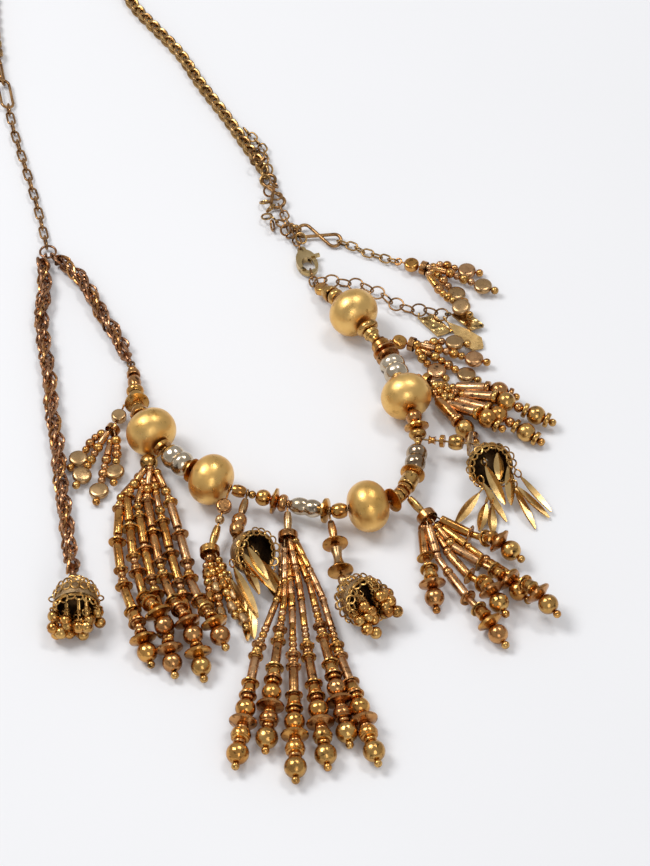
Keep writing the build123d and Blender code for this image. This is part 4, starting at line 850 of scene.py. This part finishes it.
small_ball = bead_shape("split", ball_size, ball_size)
rim_ring = oval(bell_ring_width, bell_ring_width, bell_ring_wire, 16, 6)
dome_ring = oval(bell_ring_width, bell_ring_width, bell_ring_wire, 14, 6)
outer_shell = bell_shell(bell_radius - dome_inset, dome_start, [
    (-bell_skirt, bell_radius - bell_wall),
    (-bell_skirt, bell_radius),
    (-bell_skirt * groove_shares[0], bell_radius),
    (-bell_skirt * groove_shares[1], bell_radius - groove_depth),
])
inner_shell = bell_shell(bell_radius - bell_wall, -bell_skirt)
inner_shell = (inner_shell[0], [tuple(reversed(face)) for face in inner_shell[1]])


def bell_dome(name, rim, axis, stem_way):
    """Dome with its inside painted dark as shade, the wire into its top, and rings over it unless it holds
    leaves.
    """
    dome = Piece()
    dome.add(outer_shell, "stipple", rim, facing(axis))
    # Painted shade: the inside of the dome gets the near-black metal
    dome.add(inner_shell, "painted_shade", rim, facing(axis))
    hole = rim + axis * (bell_radius - hole_depth)
    stem_end = rim + stem_way * (bell_radius + bow_gap)
    bow = (hole + stem_end) / 2 + (hole + stem_end - rim * 2).normalized() * bow_rise
    dome.add(swept(smooth_curve([stem_end, bow, hole + axis * bow_gap, hole]), bow_wire, 8), "gold")
    ring_rows = () if name in LEAVES else RING_ROWS
    for row, (angle, count) in enumerate(ring_rows):
        rise = math.radians(angle)
        for k in range(count):
            out = about(axis, math.tau * (k + 0.5 * (row % 2)) / count)
            normal = out * math.cos(rise) + axis * math.sin(rise)
            spot = rim + normal * (bell_radius + dome_ring_gap)
            dome.add(dome_ring, "gold", spot, facing(normal.cross(axis).normalized()))
    dome.build(name + "_dome", "necklace", [name + "_cap"])


def add_rim(fringe, centre, axis):
    """Hoop inside the rim, with a row of rings hung on it."""
    reach = bell_radius - hoop_inset
    hoop = [centre + about(axis, math.tau * k / hoop_steps) * reach for k in range(hoop_steps)]
    fringe.add(swept(hoop, hoop_wire, 8, closed=True), "gold")
    for k in range(rim_ring_count):
        out = about(axis, math.tau * k / rim_ring_count)
        spot = centre + out * reach - axis * rim_ring_drop
        spot.z = min(spot.z, highest_ring)
        roll = dice.uniform(-rim_ring_roll, rim_ring_roll)
        fringe.add(rim_ring, "gold", spot, facing(out.cross(axis), roll))


def add_leaves(fringe, rows):
    """Leaves from their eyes to their tips, each with its ring."""
    for eye_column, eye_row, eye_height, tip_column, tip_row, tip_height in rows:
        eye = seen(eye_column, eye_row, eye_height)
        way = seen(tip_column, tip_row, tip_height) - eye
        fringe.add(leaf_shape(way.length), "leaf", eye, facing(way, dice.uniform(-leaf_roll, leaf_roll)))
        fringe.add(rim_ring, "gold", eye - way.normalized() * leaf_ring_gap, facing(way, leaf_ring_roll))


def add_balls(fringe, centre, axis):
    """Small balls below the mouth, each on its wire with a ring half way."""
    for _ in range(ball_count):
        turn = dice.uniform(0, math.tau)
        reach = bell_radius * math.sqrt(dice.uniform(*ball_shares)) * ball_spread
        out = about(axis, turn)
        spot = centre + out * reach - axis * dice.uniform(*ball_drop)
        spot.z = pile_height + pile_press * max(spot.z - pile_height, 0)
        tilt = facing(Vector((dice.uniform(-1, 1), dice.uniform(-1, 1), dice.uniform(-1, 1))))
        fringe.add(small_ball, dice.choice(ball_metals), spot, tilt, dice.uniform(*ball_scales))
        inner = centre + out * reach * ball_wire_start
        fringe.add(swept([inner, spot], ball_wire, 6), "gold")
        fringe.add(rim_ring, "gold", (inner + spot) / 2, tilt, ball_ring_scale)


for name, (degrees, pitch, (x, y)) in BELLS.items():
    rim = Vector((x, y, bell_height))
    axis = heading(degrees, MOUTH_PITCH.get(name, pitch))
    bell_dome(name, rim, axis, heading(degrees, pitch))
    centre = rim - axis * (bell_skirt + fringe_gap)
    fringe = Piece()
    add_rim(fringe, centre, axis)
    if name in LEAVES:
        add_leaves(fringe, LEAVES[name])
    else:
        add_balls(fringe, centre, axis)
    fringe.build(name + "_drops", "necklace", [name + "_fringe"])


def solids_of(node):
    """Which loose solid each face of a node belongs to, from the vertices that faces share."""
    mesh = nodes[node].data
    _, same = np.unique(np.round(points_of(node), 6), axis=0, return_inverse=True)
    same = same.reshape(-1)
    parent = list(range(same.max() + 1))

    def root(i):
        while parent[i] != i:
            parent[i] = parent[parent[i]]
            i = parent[i]
        return i

    for polygon in mesh.polygons:
        ids = [root(same[i]) for i in polygon.vertices]
        for i in ids[1:]:
            parent[root(i)] = root(ids[0])
    return [root(same[polygon.vertices[0]]) for polygon in mesh.polygons]


def middles_of(node):
    """Middle of each loose solid of a node, in the order that the chain runs."""
    points = points_of(node) / MM
    groups = {}
    for label, polygon in zip(solids_of(node), nodes[node].data.polygons):
        groups.setdefault(label, set()).update(polygon.vertices)
    middles = []
    for members in groups.values():
        own = points[list(members)]
        middles.append(Vector((own.min(0) + own.max(0)) / 2))
    chain, rest = middles[:1], middles[1:]
    while rest:
        ahead = min(rest, key=lambda m: (m - chain[-1]).length)
        behind = min(rest, key=lambda m: (m - chain[0]).length)
        if (ahead - chain[-1]).length <= (behind - chain[0]).length:
            chain.append(ahead)
            rest.remove(ahead)
        else:
            chain.insert(0, behind)
            rest.remove(behind)
    return chain


def paint(node, metal_names):
    """Give a kept node its metal, or share several metals out among its loose solids."""
    mesh = nodes[node].data
    mesh.materials.clear()
    for metal_name in metal_names:
        mesh.materials.append(METALS[metal_name])
    if len(metal_names) > 1:
        labels = solids_of(node)
        choice = {label: dice.randrange(len(metal_names)) for label in dict.fromkeys(labels)}
        mesh.polygons.foreach_set("material_index", [choice[label] for label in labels])
    mesh.update()


# Back chain: close twisted links in two rows about the line that the solid chain runs on
curb_length = 6.0
curb_width = 3.5
curb_wire = 0.66
curb_skew = 0.3
curb_roll = 40
curb = Piece()
curb_link = oval(curb_length, curb_width, curb_wire)
curb_line = middles_of("neck_chain_back")
for i in range(2 * len(curb_line) - 1):
    here = curb_line[i // 2] if i % 2 == 0 else (curb_line[i // 2] + curb_line[i // 2 + 1]) / 2
    last = min(i // 2 + 1, len(curb_line) - 1)
    way = (curb_line[last] - curb_line[last - 1]).normalized()
    level = UP.cross(way).normalized()
    hand = 1 if i % 2 else -1
    skew = (way + level * (hand * curb_skew)).normalized()
    turn = facing(skew, math.radians(hand * curb_roll))
    curb.add(curb_link, "back" if i % 3 else "bronze", here, turn)
curb.build("neck_chain_back_links", "necklace", ["neck_chain_back"])


# Fine rings tangled in the end of the back chain: pixel, height, and tilt of each
TANGLE = [
    (250, 133, 2.0, 20), (255, 140, 3.2, 70), (261, 147, 2.4, 35), (252, 146, 4.0, 75), (264, 154, 2.2, 50),
    (262, 166, 2.2, 60), (266, 178, 3.2, 25), (262, 190, 2.0, 55), (268, 197, 3.0, 20), (264, 206, 2.4, 70),
    (272, 209, 3.6, 30), (279, 214, 2.6, 65), (284, 221, 3.8, 25), (290, 226, 2.2, 60), (293, 218, 3.2, 30),
    (270, 216, 1.8, 15), (300, 230, 2.6, 65), (274, 184, 4.0, 80), (271, 170, 3.6, 40),
]
tangle_length = 4.3
tangle_width = 3.9
tangle_wire = 0.42
tangle_gap = 0.05
tangle_ring = oval(tangle_length, tangle_width, tangle_wire, 20, 7)
tangle = Piece()
for column, row, height, tilt in TANGLE:
    turn = facing(heading(dice.uniform(0, 360), 90 - tilt))
    below = math.hypot(tangle_length / 2 * turn[2][2], tangle_width / 2 * turn[2][0]) + tangle_wire
    middle = seen(column, row, max(height, below + tangle_gap))
    tangle.add(tangle_ring, dice.choice(["back", "chain"]), middle, turn)
tangle.build("tangled_rings", "necklace")


# Kept nodes and their metals, shared out bead by bead where there is more than one
KEPT = {
    "string_beads_right": ["gold", "amber", "copper", "amber"],
    "string_beads_left": ["gold", "amber", "copper", "amber"],
    "drop_beads": ["pale", "amber", "copper", "gold"],
    "neck_chain_left": ["chain"],
    "neck_chain_right": ["chain"],
    "figure_eight_link_1": ["chain"],
    "figure_eight_link_2": ["chain"],
    "clasp_body": ["olive"],
    "clasp_lever": ["olive"],
    "clasp_rings": ["chain"],
    "small_rings": ["back"],
    "ring_chain": ["chain"],
    "junction_ring": ["rope"],
    "charm_diamond_1": ["hammered"],
    "charm_diamond_2": ["hammered"],
    "charm_leaf": ["leaf"],
    "string_thread": ["thread"],
}
for node in nodes:
    if node.startswith("big_bead"):
        KEPT[node] = ["satin"]
    if node.startswith("baroque"):
        KEPT[node] = ["silver"]
    if node.endswith("_stem"):
        KEPT[node] = ["bronze"]
KEPT["baroque_bead_2"] = ["dusk"]
for node, metal_names in KEPT.items():
    paint(node, metal_names)


# Floor, soft studio light and pale surroundings
floor_mesh = bpy.data.meshes.new("floor")
floor_half = 3.0
floor_corners = [(-floor_half, -floor_half, 0), (floor_half, -floor_half, 0), (floor_half, floor_half, 0),
                 (-floor_half, floor_half, 0)]
floor_mesh.from_pydata(floor_corners, [], [(0, 1, 2, 3)])
floor = bpy.data.objects.new("floor", floor_mesh)
bpy.context.scene.collection.objects.link(floor)
floor_material, floor_tree, floor_main, floor_place = shader("pale_floor")
floor_tones = [(0.3, (0.82, 0.823, 0.837)), (0.7, (0.845, 0.848, 0.862))]
floor_colour = ramp(floor_tree, noise(floor_tree, floor_place, 3), floor_tones)
floor_tree.links.new(floor_colour, floor_main.inputs["Base Color"])
floor_main.inputs["Roughness"].default_value = 0.7
floor_mesh.materials.append(floor_material)


def area_light(name, place, target, size, power):
    """Soft light at a place, turned to its target, all in metres and watts."""
    data = bpy.data.lights.new(name, "AREA")
    data.shape = "RECTANGLE"
    data.size, data.size_y = size
    data.energy = power
    light = bpy.data.objects.new(name, data)
    bpy.context.scene.collection.objects.link(light)
    light.location = place
    light.rotation_euler = (Vector(target) - Vector(place)).to_track_quat("-Z", "Y").to_euler()


area_light("key_light", (-0.75, 0.2, 1.25), (0.05, -0.12, 0), (0.6, 0.6), 11.5)
area_light("top_light", (0.45, 0.35, 1.3), (0.06, -0.14, 0), (0.5, 0.25), 4.2)
area_light("front_light", (0.25, -0.9, 0.55), (0.03, -0.08, 0), (0.3, 0.5), 1.2)
world = bpy.data.worlds.new("surroundings")
bpy.context.scene.world = world
world.use_nodes = True
world.node_tree.nodes["Background"].inputs["Color"].default_value = (0.92, 0.92, 0.94, 1)
world.node_tree.nodes["Background"].inputs["Strength"].default_value = 0.49
bpy.context.scene.view_settings.view_transform = "Standard"
